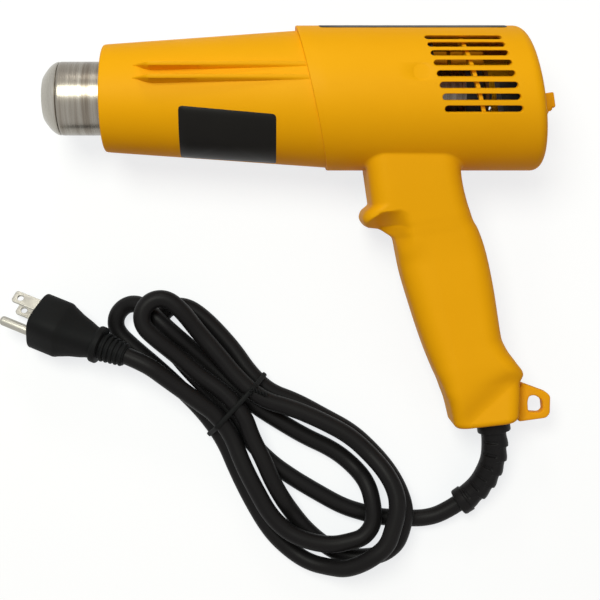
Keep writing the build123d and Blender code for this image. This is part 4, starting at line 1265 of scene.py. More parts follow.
    def shaped(self, t: np.ndarray, e: np.ndarray, w: np.ndarray) -> np.ndarray:
        """Flank of the grip with its crease, the ledge's hollow and the butt's valley.

        Args:
            t: Place down the grip.
            e: Place behind the grip's centre line.
            w: Place towards the left flank.

        Returns:
            The changed places towards the left flank.
        """
        crease, hollow, valley = (
            depth * form(t, e)
            for depth, form in zip(self.depths, (self.crease, self.ledge_hollow, self.butt_valley))
        )
        return w * (1 - crease - hollow - valley)

    def row(self, t: np.ndarray, inset: float = 0.0) -> np.ndarray:
        """One row of points round the grip.

        Args:
            t: Place down the grip for each column.
            inset: How far the section is drawn in.

        Returns:
            Array of points.
        """
        e, w, _, _ = self.outline(t, inset)
        t, e, w = self.filled(np.stack([t, e, w], axis=-1)).T
        return TOOL.grip(t, e, self.shaped(t, e, w))

    def filled(self, row: np.ndarray) -> np.ndarray:
        """Adds points along the flats between the section's corners.

        Args:
            row: The corners' points.

        Returns:
            Array of points.
        """
        out, steps = [], self.corner_steps
        for k, count in enumerate(self.flat_steps):
            corner = row[k * steps:(k + 1) * steps]
            after = row[((k + 1) * steps) % len(row)]
            share = np.linspace(0, 1, count + 1)[1:-1, None]
            out.extend([corner, corner[-1] * (1 - share) + after * share])
        return np.concatenate(out)

    def handle(self) -> bpy.types.Object:
        """Neck, ledge, grip and butt, its upper end running onto the barrel in a small fillet.

        Returns:
            The closed solid.
        """
        size, count = self.fillet, 4 * self.corner_steps
        low, high = np.full(count, 15.0), np.full(count, 70.0)
        # the place down the grip where the fillet's ball just clears the barrel, for each column
        for _ in range(40):
            t = (low + high) / 2
            e, w, ne, nw = self.outline(t)
            v = TOOL.down(t, e + size * ne)[1]
            out = np.hypot(v, w + size * nw) > TOOL.radius + size
            high, low = np.where(out, t, high), np.where(out, low, t)
        e, w, ne, nw = self.outline(t)
        # the fillet's centre as x, v, w, and its directions to the grip and to the barrel
        c, s = cos(TOOL.lean), sin(TOOL.lean)
        x0, v0 = TOOL.down(t, e + size * ne)
        centre = np.stack([x0, v0, w + size * nw], axis=-1)
        to_grip = np.stack([-ne * c, -ne * s, -nw], axis=-1)
        reach = np.hypot(centre[:, 1], centre[:, 2])[:, None]
        to_axis = np.stack([0 * x0, -centre[:, 1], -centre[:, 2]], axis=-1) / reach
        inner = centre + to_axis * (size + 0.7)
        rows = [self.filled(TOOL.point(*inner.T))]
        for k in range(8):
            a = k / 7
            way = to_axis * (1 - a) + to_grip * a
            way /= np.linalg.norm(way, axis=1)[:, None]
            spot = centre + way * size
            rows.append(self.on_barrel(self.filled(TOOL.point(*spot.T)), k == 0))
        for share in np.linspace(0, 1, 10)[1:]:
            rows.append(self.row(t + (self.grip_start - t) * share))
        ends = self.end - self.end_round
        for place in np.arange(self.grip_start + self.row_step, ends, self.row_step):
            rows.append(self.row(np.full(count, place)))
        for k in range(8):
            a = k * pi / 14
            place = self.end - self.end_round * (1 - sin(a))
            rows.append(self.row(np.full(count, place), self.end_round * (1 - cos(a))))
        rows.append(self.row(np.full(count, self.end), 8.0))
        return skin("handle", rows)

    def on_barrel(self, row: np.ndarray, onto: bool) -> np.ndarray:
        """Keeps the fillet's rows at or above the barrel's surface.

        Args:
            row: The row's points.
            onto: Whether the row lies on the barrel itself.

        Returns:
            Array of points.
        """
        c, s = cos(TOOL.roll), sin(TOOL.roll)
        y = row[:, 1] - (TOOL.butt_reach - TOOL.radius) / 2
        z = row[:, 2] - TOOL.radius
        v, w = y * c + z * s, -y * s + z * c
        reach = np.hypot(v, w)
        wanted = np.full_like(reach, TOOL.radius) if onto else np.maximum(reach, TOOL.radius)
        return TOOL.point(row[:, 0], v * wanted / reach, w * wanted / reach)

    def vents(self) -> bpy.types.Object:
        """Cutters for the slots, each drawn at a slant and with a small flare at the surface.

        Returns:
            All cutters in one object.
        """
        solid = Solid()
        length, width = self.vent_size
        bend = np.concatenate([np.linspace(-pi / 2, pi / 2, 9), np.linspace(pi / 2, 1.5 * pi, 9)])
        shift = np.repeat([1.0, -1.0], 9) * (length - width) / 2
        levels = ((-7.0, 0.0), (-0.55, 0.0), (-0.22, 0.1), (-0.02, 0.34), (1.5, 0.9))
        for way in (1, -1):
            for k in range(self.vent_count):
                angle = radians(self.vent_first + self.vent_step * k)
                near = max(angle - self.near_draw, self.lowest_draw)
                draw = near if way > 0 else angle + self.far_draw
                rows = []
                for level, grow in levels:
                    r = width / 2 + grow
                    a = self.vent_centre(angle) + shift + r * np.cos(bend)
                    place = angle + r * np.sin(bend) / TOOL.radius
                    v = TOOL.radius * np.sin(place) + level * sin(draw)
                    w = way * (TOOL.radius * np.cos(place) + level * cos(draw))
                    rows.append(TOOL.point(a, v, w))
                solid.grid(np.array(rows))
        return solid.build("vents")

    def vent_centre(self, angle: float) -> float:
        """Place of a slot's middle along the barrel."""
        height = TOOL.radius * sin(angle)
        return TOOL.seam_x + self.vent_place - height * tan(radians(self.vent_slant))

    def webs(self) -> bpy.types.Object:
        """One curved bar on each side that crosses behind the slots.

        Returns:
            Both bars in one object.
        """
        solid = Solid()
        inner = TOOL.radius - self.wall
        last = self.vent_first + self.vent_step * (self.vent_count - 1)
        first, last = self.vent_first - self.web_run_out, last + self.web_run_out
        for way in (1, -1):
            rows = []
            for angle in np.radians(np.linspace(first, last, 40)):
                a = self.vent_centre(angle) + self.web_half * np.array([-1, 1, 1, -1])
                out = inner + np.array([-self.web_depth, -self.web_depth, 0.05, 0.05])
                rows.append(TOOL.point(a, out * sin(angle), way * out * cos(angle)))
            solid.grid(np.array(rows))
        return solid.build("webs")

    def box(self, a: Point, b: Point, shape: Callable) -> bpy.types.Object:
        """Box between two corners, in the coordinates that shape turns into world places.

        Args:
            a: One corner.
            b: The corner across from it.
            shape: Turns arrays of coordinates into world places.

        Returns:
            The box.
        """
        xs, ys = np.array([a[0], b[0], b[0], a[0]]), np.array([a[1], a[1], b[1], b[1]])
        low, high = shape(xs, ys, np.full(4, a[2])), shape(xs, ys, np.full(4, b[2]))
        return Solid().prism(low, high).build("block")

    def dimple(self) -> bpy.types.Object:
        """Cutter for the shallow round gate mark on the left flank.

        Returns:
            The cutter.
        """
        (x, angle), turn = self.mark, around(48)
        rows = []
        for r, level in ((2.0, -0.32), (3.7, -0.3), (4.1, -0.22), (4.5, 0.02), (4.9, 0.9)):
            a, b, out = x + r * np.cos(turn), r * np.sin(turn), TOOL.radius + level
            out = out - b * b / (2 * TOOL.radius)
            rows.append(TOOL.point(a, out * sin(angle) + b * cos(angle),
                                   out * cos(angle) - b * sin(angle)))
        return skin("mark", rows)

    def rear_slot(self) -> bpy.types.Object:
        """Cutter for the switch's slot in the rear wall.

        Returns:
            The cutter.
        """
        def shape(a: np.ndarray, b: np.ndarray, n: np.ndarray) -> np.ndarray:
            """From along the wall, across it and out of it."""
            return TOOL.rear(a, n, b)

        return self.box(*self.rear_slot_corners, shape)

    def at_screws(self, name: str, profile: Sequence[tuple[float, float]]) -> bpy.types.Object:
        """Round forms at the six screws, from (radius, w) pairs.

        Args:
            name: The object's name.
            profile: The pairs, in order.

        Returns:
            All forms in one object.
        """
        solid, angle = Solid(), around(40)
        for x, v in self.post_places():
            rows = [TOOL.point(x + r * np.cos(angle), v + r * np.sin(angle), w) for r, w in profile]
            solid.grid(np.array(rows))
        return solid.build(name)

    def post_places(self) -> list[tuple[float, float]]:
        """Places of the six screws along the barrel and above its axis.

        Returns:
            Pairs of x and v.
        """
        high = TOOL.radius - self.wall - self.post_radius - 0.3
        barrel = [(TOOL.seam_x + x, v) for x, v in ((29.5, high), (93.5, high), (92.0, -high))]
        return barrel + [TOOL.down(t, e) for t, e in self.grip_posts]

    def build(self, finishes: Finishes) -> list[bpy.types.Object]:
        """Makes both halves.

        Args:
            finishes: All finishes.

        Returns:
            The dressed halves.
        """
        shell = combine(self.barrel(0.0), self.handle(), Cut.JOIN)
        blanks = self.at_screws("posts", [(self.post_radius, end) for end in self.post_ends])
        posts = combine(blanks, doubled(shell), Cut.KEEP)
        for other, way in (
            (self.barrel(self.wall), Cut.TAKE), (self.vents(), Cut.TAKE), (self.webs(), Cut.JOIN),
            (self.rear_slot(), Cut.TAKE), (self.dimple(), Cut.TAKE),
        ):
            combine(shell, other, way)
        right = doubled(shell)
        low, high, side = (-60, -200), (160, 60), 60
        left_half = self.box((*low, self.parting), (*high, side), TOOL.point)
        right_half = self.box((*low, -side), (*high, -self.parting), TOOL.point)
        left = combine(shell, left_half, Cut.KEEP)
        combine(right, right_half, Cut.KEEP)
        combine(right, posts, Cut.JOIN)
        hole, head, seat = self.screw_hole, self.head_hole, self.head_seat
        sockets = [(hole, 2.0), (hole, seat), (head, seat - 0.01), (head, -45.0)]
        combine(right, self.at_screws("sockets", sockets), Cut.TAKE)
        made = []
        for piece, name in ((left, "housing_left"), (right, "housing_right")):
            piece.name = name + ".shell"
            smooth(piece, 34)
            made.append(finish_piece(piece, finishes, "yellow_plastic", Body.TOOL, (name,)))
        return made


# The front sleeve


@dataclass
class Sleeve:
    """One-piece tapered cover with two fins on each flank and a bare label plate."""

    front: float = -94.45
    length: float = 99.0
    front_radius: float = 25.5
    rear_radius: float = 32.4
    wall: float = 2.2
    fin_places: tuple[float, float] = (7.75, 13.7)
    fin_reach: float = 33.4
    fin_start: float = 16.6
    fin_ramp: float = 9.2
    fin_half: float = 1.25
    fin_draft: float = 0.2
    lip: float = 1.1
    label_corners: Sequence[tuple[float, float]] = (
        (-57.3, -4.9), (-12.4, -9.1), (-12.2, -44.0), (-57.7, -41.0),
    )

    def radius(self, x: Numbers) -> np.ndarray:
        """Outside radius at x."""
        share = (np.asarray(x, float) - self.front) / self.length
        return self.front_radius + (self.rear_radius - self.front_radius) * share

    def shell(self) -> bpy.types.Object:
        """The tapered tube, its back end slanted along the seam.

        Returns:
            The tube.
        """
        angle = around(192)
        v0, w0 = np.cos(angle), np.sin(angle)
        rows = []

        def ring(x: Numbers, r: Numbers) -> None:
            """Adds a circle."""
            rows.append(TOOL.point(x, r * v0, r * w0))

        def seam(r: float) -> np.ndarray:
            """How far the seam leans back at each column."""
            return r * v0 * tan(TOOL.seam_slant)

        for k in range(7):
            a = k * pi / 12
            ring(self.front + self.lip * (1 - cos(a)), self.front_radius - self.lip * (1 - sin(a)))
        start = self.front + self.lip
        for share in np.linspace(0.02, 1.0, 24):
            x = start + (TOOL.seam_x + 0.35 - seam(self.rear_radius) - start) * share
            ring(x, self.radius(x))
        for r in (self.rear_radius - 1.6, self.rear_radius - 3.2):
            ring(TOOL.seam_x + 0.35 - seam(r), r)
        back = TOOL.seam_x - 8.0
        ring(back, self.radius(back) - self.wall)
        for ahead, flare in ((0.8, 0.0), (0.2, 0.3), (0.0, 0.5)):
            ring(self.front + ahead, self.front_radius - self.wall + flare)
        rows.append(rows[0])
        return skin("sleeve", rows, caps=False)

    def fin(self, height: float, way: int) -> np.ndarray:
        """Rows of one fin, with a filleted root and a rounded edge.

        Args:
            height: How far above the barrel's axis it is.
            way: 1 for the left flank, -1 for the right one.

        Returns:
            Array of rows by columns by 3.
        """
        tip = self.front + self.fin_start
        full, back = tip + self.fin_ramp, TOOL.seam_x + 4.0 - height * tan(TOOL.seam_slant)
        stations = np.concatenate([
            [tip - 0.6], tip + np.linspace(0, 1, 12) * self.fin_ramp,
            np.linspace(full + 3, back, 30),
        ])
        rows = []
        for x in stations:
            foot = sqrt(float(self.radius(x)) ** 2 - height**2)
            side = sqrt((self.fin_reach - 0.8 * (x - tip) / self.length) ** 2 - height**2)
            rise = through([tip - 1, tip + 1.0, full - 1.6, full + 1.5],
                           [0.1, 0.7, side - 0.35 - foot, side - foot], x)
            rise = max(float(rise), 0.12)
            k = min(1.0, rise / 2.6)
            half = self.fin_half * (0.3 + 0.7 * float(ramp(x, tip - 0.6, full)))
            draft = self.fin_draft * rise
            pairs = [(-1.6, half + 0.5 * k), (0.0, half + 0.4 * k), (0.15 * k, half + 0.2 * k),
                     (0.4 * k, half + 0.05 * k), (1.0 * k, half), (rise - 0.34 * k, half - 0.1),
                     (rise - 0.08 * k, half - 0.2 * k), (rise, half - 0.4 * k),
                     (rise, -0.2 * half), (rise - 0.2 * k, -0.5 * half),
                     (0.6 * k, -half - draft), (0.25 * k, -half - draft - 0.12 * k),
                     (0.0, -half - draft - 0.4 * k), (-1.6, -half - draft - 0.5 * k)]
            n, b = np.array(pairs).T
            rows.append(TOOL.point(x, height + b, way * (foot + n)))
        return np.array(rows)

    def label(self, finishes: Finishes) -> bpy.types.Object:
        """Bare black plate low on the left flank, wrapped round the sleeve.

        Args:
            finishes: All finishes.

        Returns:
            The dressed plate.
        """
        return wrapped_plate(
            "label_plate", self.radius, self.label_corners, corner_round=1.9, lift=0.14,
            finishes=finishes,
        )

    def build(self, finishes: Finishes) -> list[bpy.types.Object]:
        """Makes the sleeve with its fins, and the plate.

        Args:
            finishes: All finishes.

        Returns:
            The dressed pieces.
        """
        shell = self.shell()
        for height in self.fin_places:
            for way in (1, -1):
                combine(shell, skin("fin", self.fin(height, way)), Cut.JOIN)
        shell.name = "front_sleeve.shell"
        smooth(shell, 40)
        finish_piece(shell, finishes, "yellow_plastic", Body.TOOL, ("front_sleeve",))
        return [shell, self.label(finishes)]


def wrapped_plate(
    name: str, radius: Callable, corners: Sequence[tuple[float, float]], corner_round: float,
    lift: float, finishes: Finishes,
) -> bpy.types.Object:
    """Thin plate with rounded corners that lies on the barrel's surface.

    Args:
        name: The piece's name.
        radius: Gives the surface's radius at x.
        corners: Corners as x and length round the surface from the left flank upwards.
        corner_round: Radius of the rounded corners.
        lift: How far the plate stands proud.
        finishes: All finishes.

    Returns:
        The dressed piece.
    """
    edge = even_loop(outline_arcs(corners, corner_round, 7), 160)
    middle = edge.mean(axis=0)
    rows = []
    # rings from below the surface over the edge and in towards the middle
    for shrink, rise in ((1.0, -0.25), (1.0, lift * 0.6), (0.996, lift), (0.8, lift), (0.55, lift),
                         (0.3, lift), (0.1, lift)):
        pairs = middle + (edge - middle) * shrink
        r0 = radius(pairs[:, 0])
        angle = pairs[:, 1] / r0
        r = r0 + rise
        rows.append(TOOL.point(pairs[:, 0], r * np.sin(angle), r * np.cos(angle)))
    plate = smooth(skin(name, rows), 50)
    return finish_piece(plate, finishes, "label_vinyl", Body.TOOL)


def top_strip(finishes: Finishes) -> bpy.types.Object:
    """Bare dark strip along the top of the barrel.

    Args:
        finishes: All finishes.

    Returns:
        The dressed piece.
    """
    front, back, half, top = 8.0, 96.0, 12.4, TOOL.radius * pi / 2
    corners = [(front, top + half), (back, top + half), (back, top - half), (front, top - half)]

    def radius(x: np.ndarray) -> np.ndarray:
        """The barrel's radius at each x."""
        return np.full_like(x, TOOL.radius)

    return wrapped_plate(
        "top_strip", radius, corners, corner_round=2.0, lift=0.15, finishes=finishes
    )


# The steel outlet


@dataclass
class Outlet:
    """Steel tube with its pressed lip and the flange inside the sleeve."""

    radius: float = 17.5
    wall: float = 0.8
    lip: float = 7.7
    step_x: float = -90.45
    back_x: float = -19.05
    flange_x: float = -22.45
    flange_radius: float = 27.5
    flange_wall: float = 2.0

    def build(self, finishes: Finishes) -> list[bpy.types.Object]:
        """Makes tube, lip and flange.

        Args:
            finishes: All finishes.

        Returns:
            The dressed pieces.
        """
        tip, r = TOOL.tip_x, self.radius
        inner = r - self.wall
        groove = tip + self.lip
        tube = [
            (groove + 0.05, inner), (groove + 0.05, r - 0.45), (groove + 0.5, r - 0.06),
            (groove + 1.1, r), (groove + 6, r), (self.step_x - 5, r), (self.step_x, r),
            (self.step_x + 0.5, r - 0.3), (self.back_x, r - 0.3), (self.back_x, inner),
            (self.step_x, inner), (groove + 0.05, inner),
        ]
        lip = [
            *[(tip + x, r - less) for x, less in (
                (0.25, 7.3), (0.02, 7.05), (0, 6.8), (0.1, 6.5), (0.5, 5.9), (1.3, 4.75),
                (2.4, 3.35), (3.7, 1.95), (5.0, 0.95), (6.2, 0.3),
            )],
            (groove - 0.5, r - 0.08), (groove - 0.1, r - 0.4), (groove, inner),
            (groove + 4, inner), (groove + 4, r - 1.5), (groove, r - 1.5),
            *[(tip + x, r - less) for x, less in (
                (5.2, 2.1), (3.8, 3.2), (2.3, 4.75), (1.0, 6.4), (0.25, 7.3),
            )],
        ]
        back = self.flange_x + self.flange_wall
        flange = tube_profile(self.flange_x, back, self.flange_radius, r - 0.3, 0.2)
        made = []
        for name, node, profile in (
            ("nozzle_tube.turned", "nozzle_tube", tube), ("nozzle_lip.turned", "nozzle_lip", lip),
            ("nozzle_flange.pressed", "nozzle_flange", flange),
        ):
            piece = smooth(skin(name, turned(profile), caps=False), 40)
            made.append(finish_piece(piece, finishes, "steel", Body.TOOL, (node,)))
        return made


# Switch knob and hang loop


def rounded_slab(
    name: str, outline: np.ndarray, half: float, edge: float, shape: Callable,
    hole: np.ndarray | None = None,
) -> bpy.types.Object:
    """Slab with rounded edges over an outline, perhaps with a hole.

    Args:
        name: The object's name.
        outline: Outline points, in the slab's plane.
        half: Half its thickness.
        edge: Radius of its edges.
        shape: Turns plane coordinates and height into world places.
        hole: Outline of the hole.

    Returns:
        The object.
    """
    def rings(loop: np.ndarray, sign: int) -> list[np.ndarray]:
        """Rows over one outline, drawn in or out towards both faces.

        Args:
            loop: The outline.
            sign: 1 to draw in, -1 to draw out.

        Returns:
            The rows.
        """
        ahead = np.roll(loop, -1, axis=0)
        way = ahead - np.roll(loop, 1, axis=0)
        out = np.stack([way[:, 1], -way[:, 0]], axis=-1)
        out /= np.linalg.norm(out, axis=1)[:, None] + 1e-12
        area = np.sum(loop[:, 0] * ahead[:, 1] - ahead[:, 0] * loop[:, 1])
        out *= 1 if area > 0 else -1
        rows = []
        for k in range(12):
            a = (k % 6) * pi / 10
            if k < 6:
                inset, height = edge * (1 - sin(a)), -half + edge * (1 - cos(a))
            else:
                inset, height = edge * (1 - cos(a)), half - edge * (1 - sin(a))
            pairs = loop - out * inset * sign
            rows.append(shape(pairs[:, 0], pairs[:, 1], np.full(len(pairs), height)))
        return rows

    slab = skin(name, rings(outline, 1))
    if hole is not None:
        rows = rings(hole, -1)
        grown = [rows[0] * 2 - rows[1], *rows, rows[-1] * 2 - rows[-2]]
        combine(slab, skin("hole", grown), Cut.TAKE)
    return slab


@dataclass
class SwitchKnob:
    """Wedge-shaped sliding knob in the rear wall, with finger ridges on its slope."""

    top: float = 1.4
    base: float = 14.0
    tip: float = 7.0
    proud: float = 10.7
    foot: float = 0.3
    width: float = 8.0
    ridges: int = 4
    ridge_step: float = 2.4

    def build(self, finishes: Finishes) -> bpy.types.Object:
        """Makes the knob and its stem.

        Args:
            finishes: All finishes.

        Returns:
            The dressed knob.
        """
        top, low = self.top, self.top - self.base
        corners = [(top, self.foot), (top, self.proud), (top - self.tip, self.proud)]
        start, end = np.array(corners[-1]), np.array([low, self.foot])
        for k in range(self.ridges):
            for d, depth in ((0.0, 0), (0.45, 0.45), (0.75, 0.45), (1.2, 0)):
                share = (0.9 + k * self.ridge_step + d) / np.linalg.norm(end - start)
                spot = start + (end - start) * share
                corners.append((spot[0] + 0.8 * depth, spot[1] - 0.55 * depth))
        corners.append((low, self.foot))
        outline = outline_arcs(corners, 0.9, 5)
        knob = rounded_slab(
            "switch_knob.wedge", outline, half=self.width / 2, edge=0.7, shape=TOOL.rear
        )
        stem = outline_arcs([(-3.1, 1.0), (-8.1, 1.0), (-8.1, -6.6), (-3.1, -6.6)], 0.2, 3)
        stem = rounded_slab("stem", stem, half=1.5, edge=0.2, shape=TOOL.rear)
        combine(knob, stem, Cut.JOIN)
        smooth(knob, 36)
        return finish_piece(knob, finishes, "amber_plastic", Body.SWITCH, ("switch_knob",))


@dataclass
class HangLoop:
    """Moulded loop whose tongue is held between the halves."""

    x: float = 102.25
    drop: float = 158.8
    size: float = 20.0
    outline: Sequence[tuple[float, float]] = (
        (0.10, 0.24), (0.26, 0.24), (0.265, 0.055), (0.96, 0.155), (1.05, 0.26),
        (1.05, 0.70), (0.95, 0.80), (0.315, 1.035), (0.29, 0.89), (0.10, 0.89),
    )
    hole: Sequence[tuple[float, float]] = (
        (0.49, 0.555), (0.525, 0.705), (0.67, 0.725), (0.845, 0.61),
        (0.875, 0.36), (0.80, 0.285), (0.515, 0.30),
    )

    def build(self, finishes: Finishes) -> bpy.types.Object:
        """Makes the loop.

        Args:
            finishes: All finishes.

        Returns:
            The dressed loop.
        """
        def spots(shares: Sequence[tuple[float, float]]) -> list[tuple[float, float]]:
            """Places in the middle plane."""
            return [(self.x + a * self.size, b * self.size - self.drop) for a, b in shares]

        loop = rounded_slab(
            "hang_loop.moulded", outline_arcs(spots(self.outline), 1.6), half=3.0, edge=0.8,
            shape=TOOL.point, hole=outline_arcs(spots(self.hole), 1.5),
        )
        smooth(loop, 40)
        return finish_piece(loop, finishes, "amber_plastic", Body.TOOL, ("hang_loop",))


# Strain relief, tie and plug


@dataclass
class Relief:
    """Rubber boot on the cord: collar, then notched segments that follow the bend."""

    collar: float = 8.2
    collar_ends: tuple[float, float] = (5.0, 10.6)
    segment: float = 6.65
    count: int = 6
    root: float = 157.0
    tail: float = 5.2
    columns: int = 72

    def build(self, cord: Cord, finishes: Finishes) -> bpy.types.Object:
        """Makes the boot along the cord's own line.

        Args:
            cord: The cord that it sits on.
            finishes: All finishes.

        Returns:
            The dressed boot.
        """
        points = [TOOL.grip(self.root, cord.offset, 0.0), *cord.start[:8]]
        line = cord.line([tuple(p) for p in points])
        length = float(lengths(line)[-1]) - 6.6
        (first, last), rim, body = self.collar_ends, self.collar, self.segment
        start, end = last + 0.3, length - self.tail
        run = end - last
        profile = [(0.2, 5.0), (0.2, 6.0), (first, 6.0), (first, rim - 0.5),
                   (first + 0.15, rim - 0.1), (first + 0.6, rim), (last - 0.5, rim),
                   (last - 0.1, rim - 0.15), (last, rim - 0.5), (last + 0.05, body + 0.1)]
        profile += [(s, body - 0.35 * (s - last) / run) for s in np.linspace(start, end, 170)]
        profile += [(length - 4.9, body + 0.35), (length - 1.0, body + 0.25),
                    (length - 0.25, body - 0.1), (length, body - 0.6), (length, 4.4)]
        rows = along_line(line, profile, self.columns)
        axis = along_line(line, [(s, 0.0) for s, _ in profile], self.columns)
        # degrees from the outside of the bend, where the outer notches are widest
        angle = np.degrees(around(self.columns))
        fold = np.minimum(angle, 360 - angle)
        outer, inner = ramp(fold, 80, 112), ramp(fold, 26, 36) * (1 - ramp(fold, 84, 94))
        for k, (s, r) in enumerate(profile):
            if start <= s <= end:
                spot = (s - start) * self.count / run
                near, half = spot % 1.0, (spot + 0.5) % 1.0
                slot = ramp(near, 0.02, 0.08) * (1 - ramp(near, 0.24, 0.95))
                inner_slot = ramp(half, 0.02, 0.07) * (1 - ramp(half, 0.22, 0.3))
                depth = 0.85 * slot * outer + 0.75 * inner_slot * inner
                rows[k] = rows[k] + (axis[k] - rows[k]) * (depth / r)[:, None]
        boot = smooth(skin("strain_relief.boot", rows), 38)
        return finish_piece(boot, finishes, "cord_rubber", Body.TOOL, ("strain_relief",))


@dataclass
class Tie:
    """Twist tie round the seven strands, its ends twisted together."""

    middle: tuple[float, float] = (-31.7, -85.8)
    heading: float = radians(-42.77)
    strands: Sequence[tuple[float, float]] = (
        (-5.4, 5.6), (16, 5.6), (-16, 5.6), (5.4, 5.6), (0, 15.1), (10.7, 14.5), (-10.9, 14.5),
    )
    reach: float = 4.75
    thickness: float = 0.7
    half_width: float = 1.2
    wire: float = 0.5
    twist: float = 0.55
    twist_rate: float = 1.9
    ends: Sequence[tuple[float, float, float]] = ((0.93, 0.37, 8.0), (0.30, -0.95, 3.6))

    def place(self, along: Numbers, across: Numbers, height: Numbers) -> np.ndarray:
        """World place from along the hank, across it and above the floor.

        Args:
            along: Place along the hank.
            across: Place across it.
            height: Place above the floor.

        Returns:
            Array of places, in millimetres.
        """
        c, s = cos(self.heading), sin(self.heading)
        x = self.middle[0] + along * c - across * s
        y = self.middle[1] + along * s + across * c
        x, y, z = np.broadcast_arrays(x, y, height)
        return np.stack([x, y, z], axis=-1).astype(float)

    def hull(self, reach: float) -> np.ndarray:
        """Even points on the line that wraps all strands at that distance.

        Args:
            reach: Distance from the strands' middles.

        Returns:
            Array of pairs across the hank and above the floor.
        """
        angle = np.linspace(0, 2 * pi, 721)[:-1]
        ways = np.stack([np.cos(angle), np.sin(angle)], axis=-1)
        support = np.max(ways @ np.array(self.strands).T, axis=1) + reach
        after = np.roll(support, -1)
        step = angle[1] - angle[0]
        corner = (after - support * cos(step)) / sin(step)
        sideways = np.stack([-np.sin(angle), np.cos(angle)], axis=-1)
        return even_loop(ways * support[:, None] + sideways * corner[:, None], 160)

    def build(self, finishes: Finishes) -> bpy.types.Object:
        """Makes the band and its twisted ends.

        Args:
            finishes: All finishes.

        Returns:
            The dressed tie.
        """
        section = [(-1, 0.25), (-0.85, 0.75), (-0.3, 1.0), (0.3, 1.0), (0.85, 0.75), (1, 0.25),
                   (0.9, 0.0), (-0.9, 0.0), (-1, 0.25)]
        rows = []
        for a, rise in section:
            loop = self.hull(self.reach + self.thickness * rise)
            rows.append(self.place(a * self.half_width, loop[:, 0], loop[:, 1]))
        band = skin("cord_tie.band", rows, caps=False)
        root = self.hull(self.reach + 0.3)
        top = root[np.argmax(root[:, 1] + 0.2 * root[:, 0])]
        angle = around(10)
        round_a, round_b = self.wire * np.cos(angle), self.wire * np.sin(angle)
        for along, across, length in self.ends:
            for half_turn in (0, pi):
                rows = []
                for s in np.linspace(0, 1, 40):
                    a = s * length * self.twist_rate + half_turn
                    off = self.twist * cos(a)
                    x, y = along * length * s - across * off, across * length * s + along * off
                    rise = top[1] + 0.35 + self.twist * sin(a) - 0.2 * s
                    rows.append(self.place(
                        x - across * round_a, top[0] + y + along * round_a, rise + round_b
                    ))
                combine(band, skin("wire", rows), Cut.JOIN)
        smooth(band, 50)
        return finish_piece(band, finishes, "plug_rubber", Body.TOOL, ("cord_tie",))


@dataclass
class RibRow:
    """Row of round ribs along +Z, each a little smaller than the last, made by a node tree.

    Attributes:
        count: Number of ribs.
        pitch: Step from one rib to the next, in metres.
        radius: Outer radius of the first rib.
        shrink: How much less the radius of each next rib is.
        thickness: Half the width of a rib.
    """

    count: int
    pitch: float
    radius: float
    shrink: float
    thickness: float

    def tree(self) -> bpy.types.NodeTree:
        """Node tree with a named input for each size, rings placed on a line of points.

        Returns:
            The tree.
        """
        tree = bpy.data.node_groups.new("RibRow", "GeometryNodeTree")
        kinds = {"Count": "Int", "Pitch": "Float", "Radius": "Float", "Shrink": "Float",
                 "Thickness": "Float", "Material": "Material"}
        for name, kind in kinds.items():
            tree.interface.new_socket(name, in_out="INPUT", socket_type=f"NodeSocket{kind}")
        tree.interface.new_socket("Geometry", in_out="OUTPUT", socket_type="NodeSocketGeometry")
        given = tree.nodes.new("NodeGroupInput").outputs

        def circle(radius: bpy.types.NodeSocket, steps: int) -> bpy.types.NodeSocket:
            """One circle."""
            kind = "GeometryNodeCurvePrimitiveCircle"
            return add_node(tree, kind, Radius=radius, Resolution=steps).outputs["Curve"]

        path = circle(maths(tree, "SUBTRACT", given["Radius"], given["Thickness"]), 96)
        section = circle(given["Thickness"], 14)
        ring = add_node(tree, "GeometryNodeCurveToMesh", Curve=path, Profile_Curve=section)
        step = add_node(tree, "ShaderNodeCombineXYZ", Z=given["Pitch"])
        line = add_node(
            tree, "GeometryNodeMeshLine", Count=given["Count"], Offset=step.outputs[0]
        )
        index = add_node(tree, "GeometryNodeInputIndex").outputs[0]
        less = maths(tree, "MULTIPLY", index, given["Shrink"])
        size = maths(tree, "SUBTRACT", 1.0, maths(tree, "DIVIDE", less, given["Radius"]))
        scale = add_node(tree, "ShaderNodeCombineXYZ", X=size, Y=size, Z=1.0)
        rings = add_node(
            tree, "GeometryNodeInstanceOnPoints", Points=line.outputs[0],
            Instance=ring.outputs[0], Scale=scale.outputs[0],
        )
        real = add_node(tree, "GeometryNodeRealizeInstances", i0=rings.outputs[0])
        done = add_node(
            tree, "GeometryNodeSetMaterial", Geometry=real.outputs[0], Material=given["Material"]
        )
        add_node(tree, "NodeGroupOutput", Geometry=done.outputs[0])
        return tree

    def build(self, material: bpy.types.Material) -> bpy.types.Object:
        """The ribs as one plain mesh.

        Args:
            material: Finish of the ribs.

        Returns:
            The object, its modifier already taken off.
        """
        piece = placed("ribs", bpy.data.meshes.new("ribs"))
        modifier = piece.modifiers.new("ribs", "NODES")
        modifier.node_group = self.tree()
        for item in modifier.node_group.interface.items_tree:
            if item.in_out == "INPUT":
                own = getattr(self, item.name.lower(), material)
                modifier[item.identifier] = own
        return applied(piece)


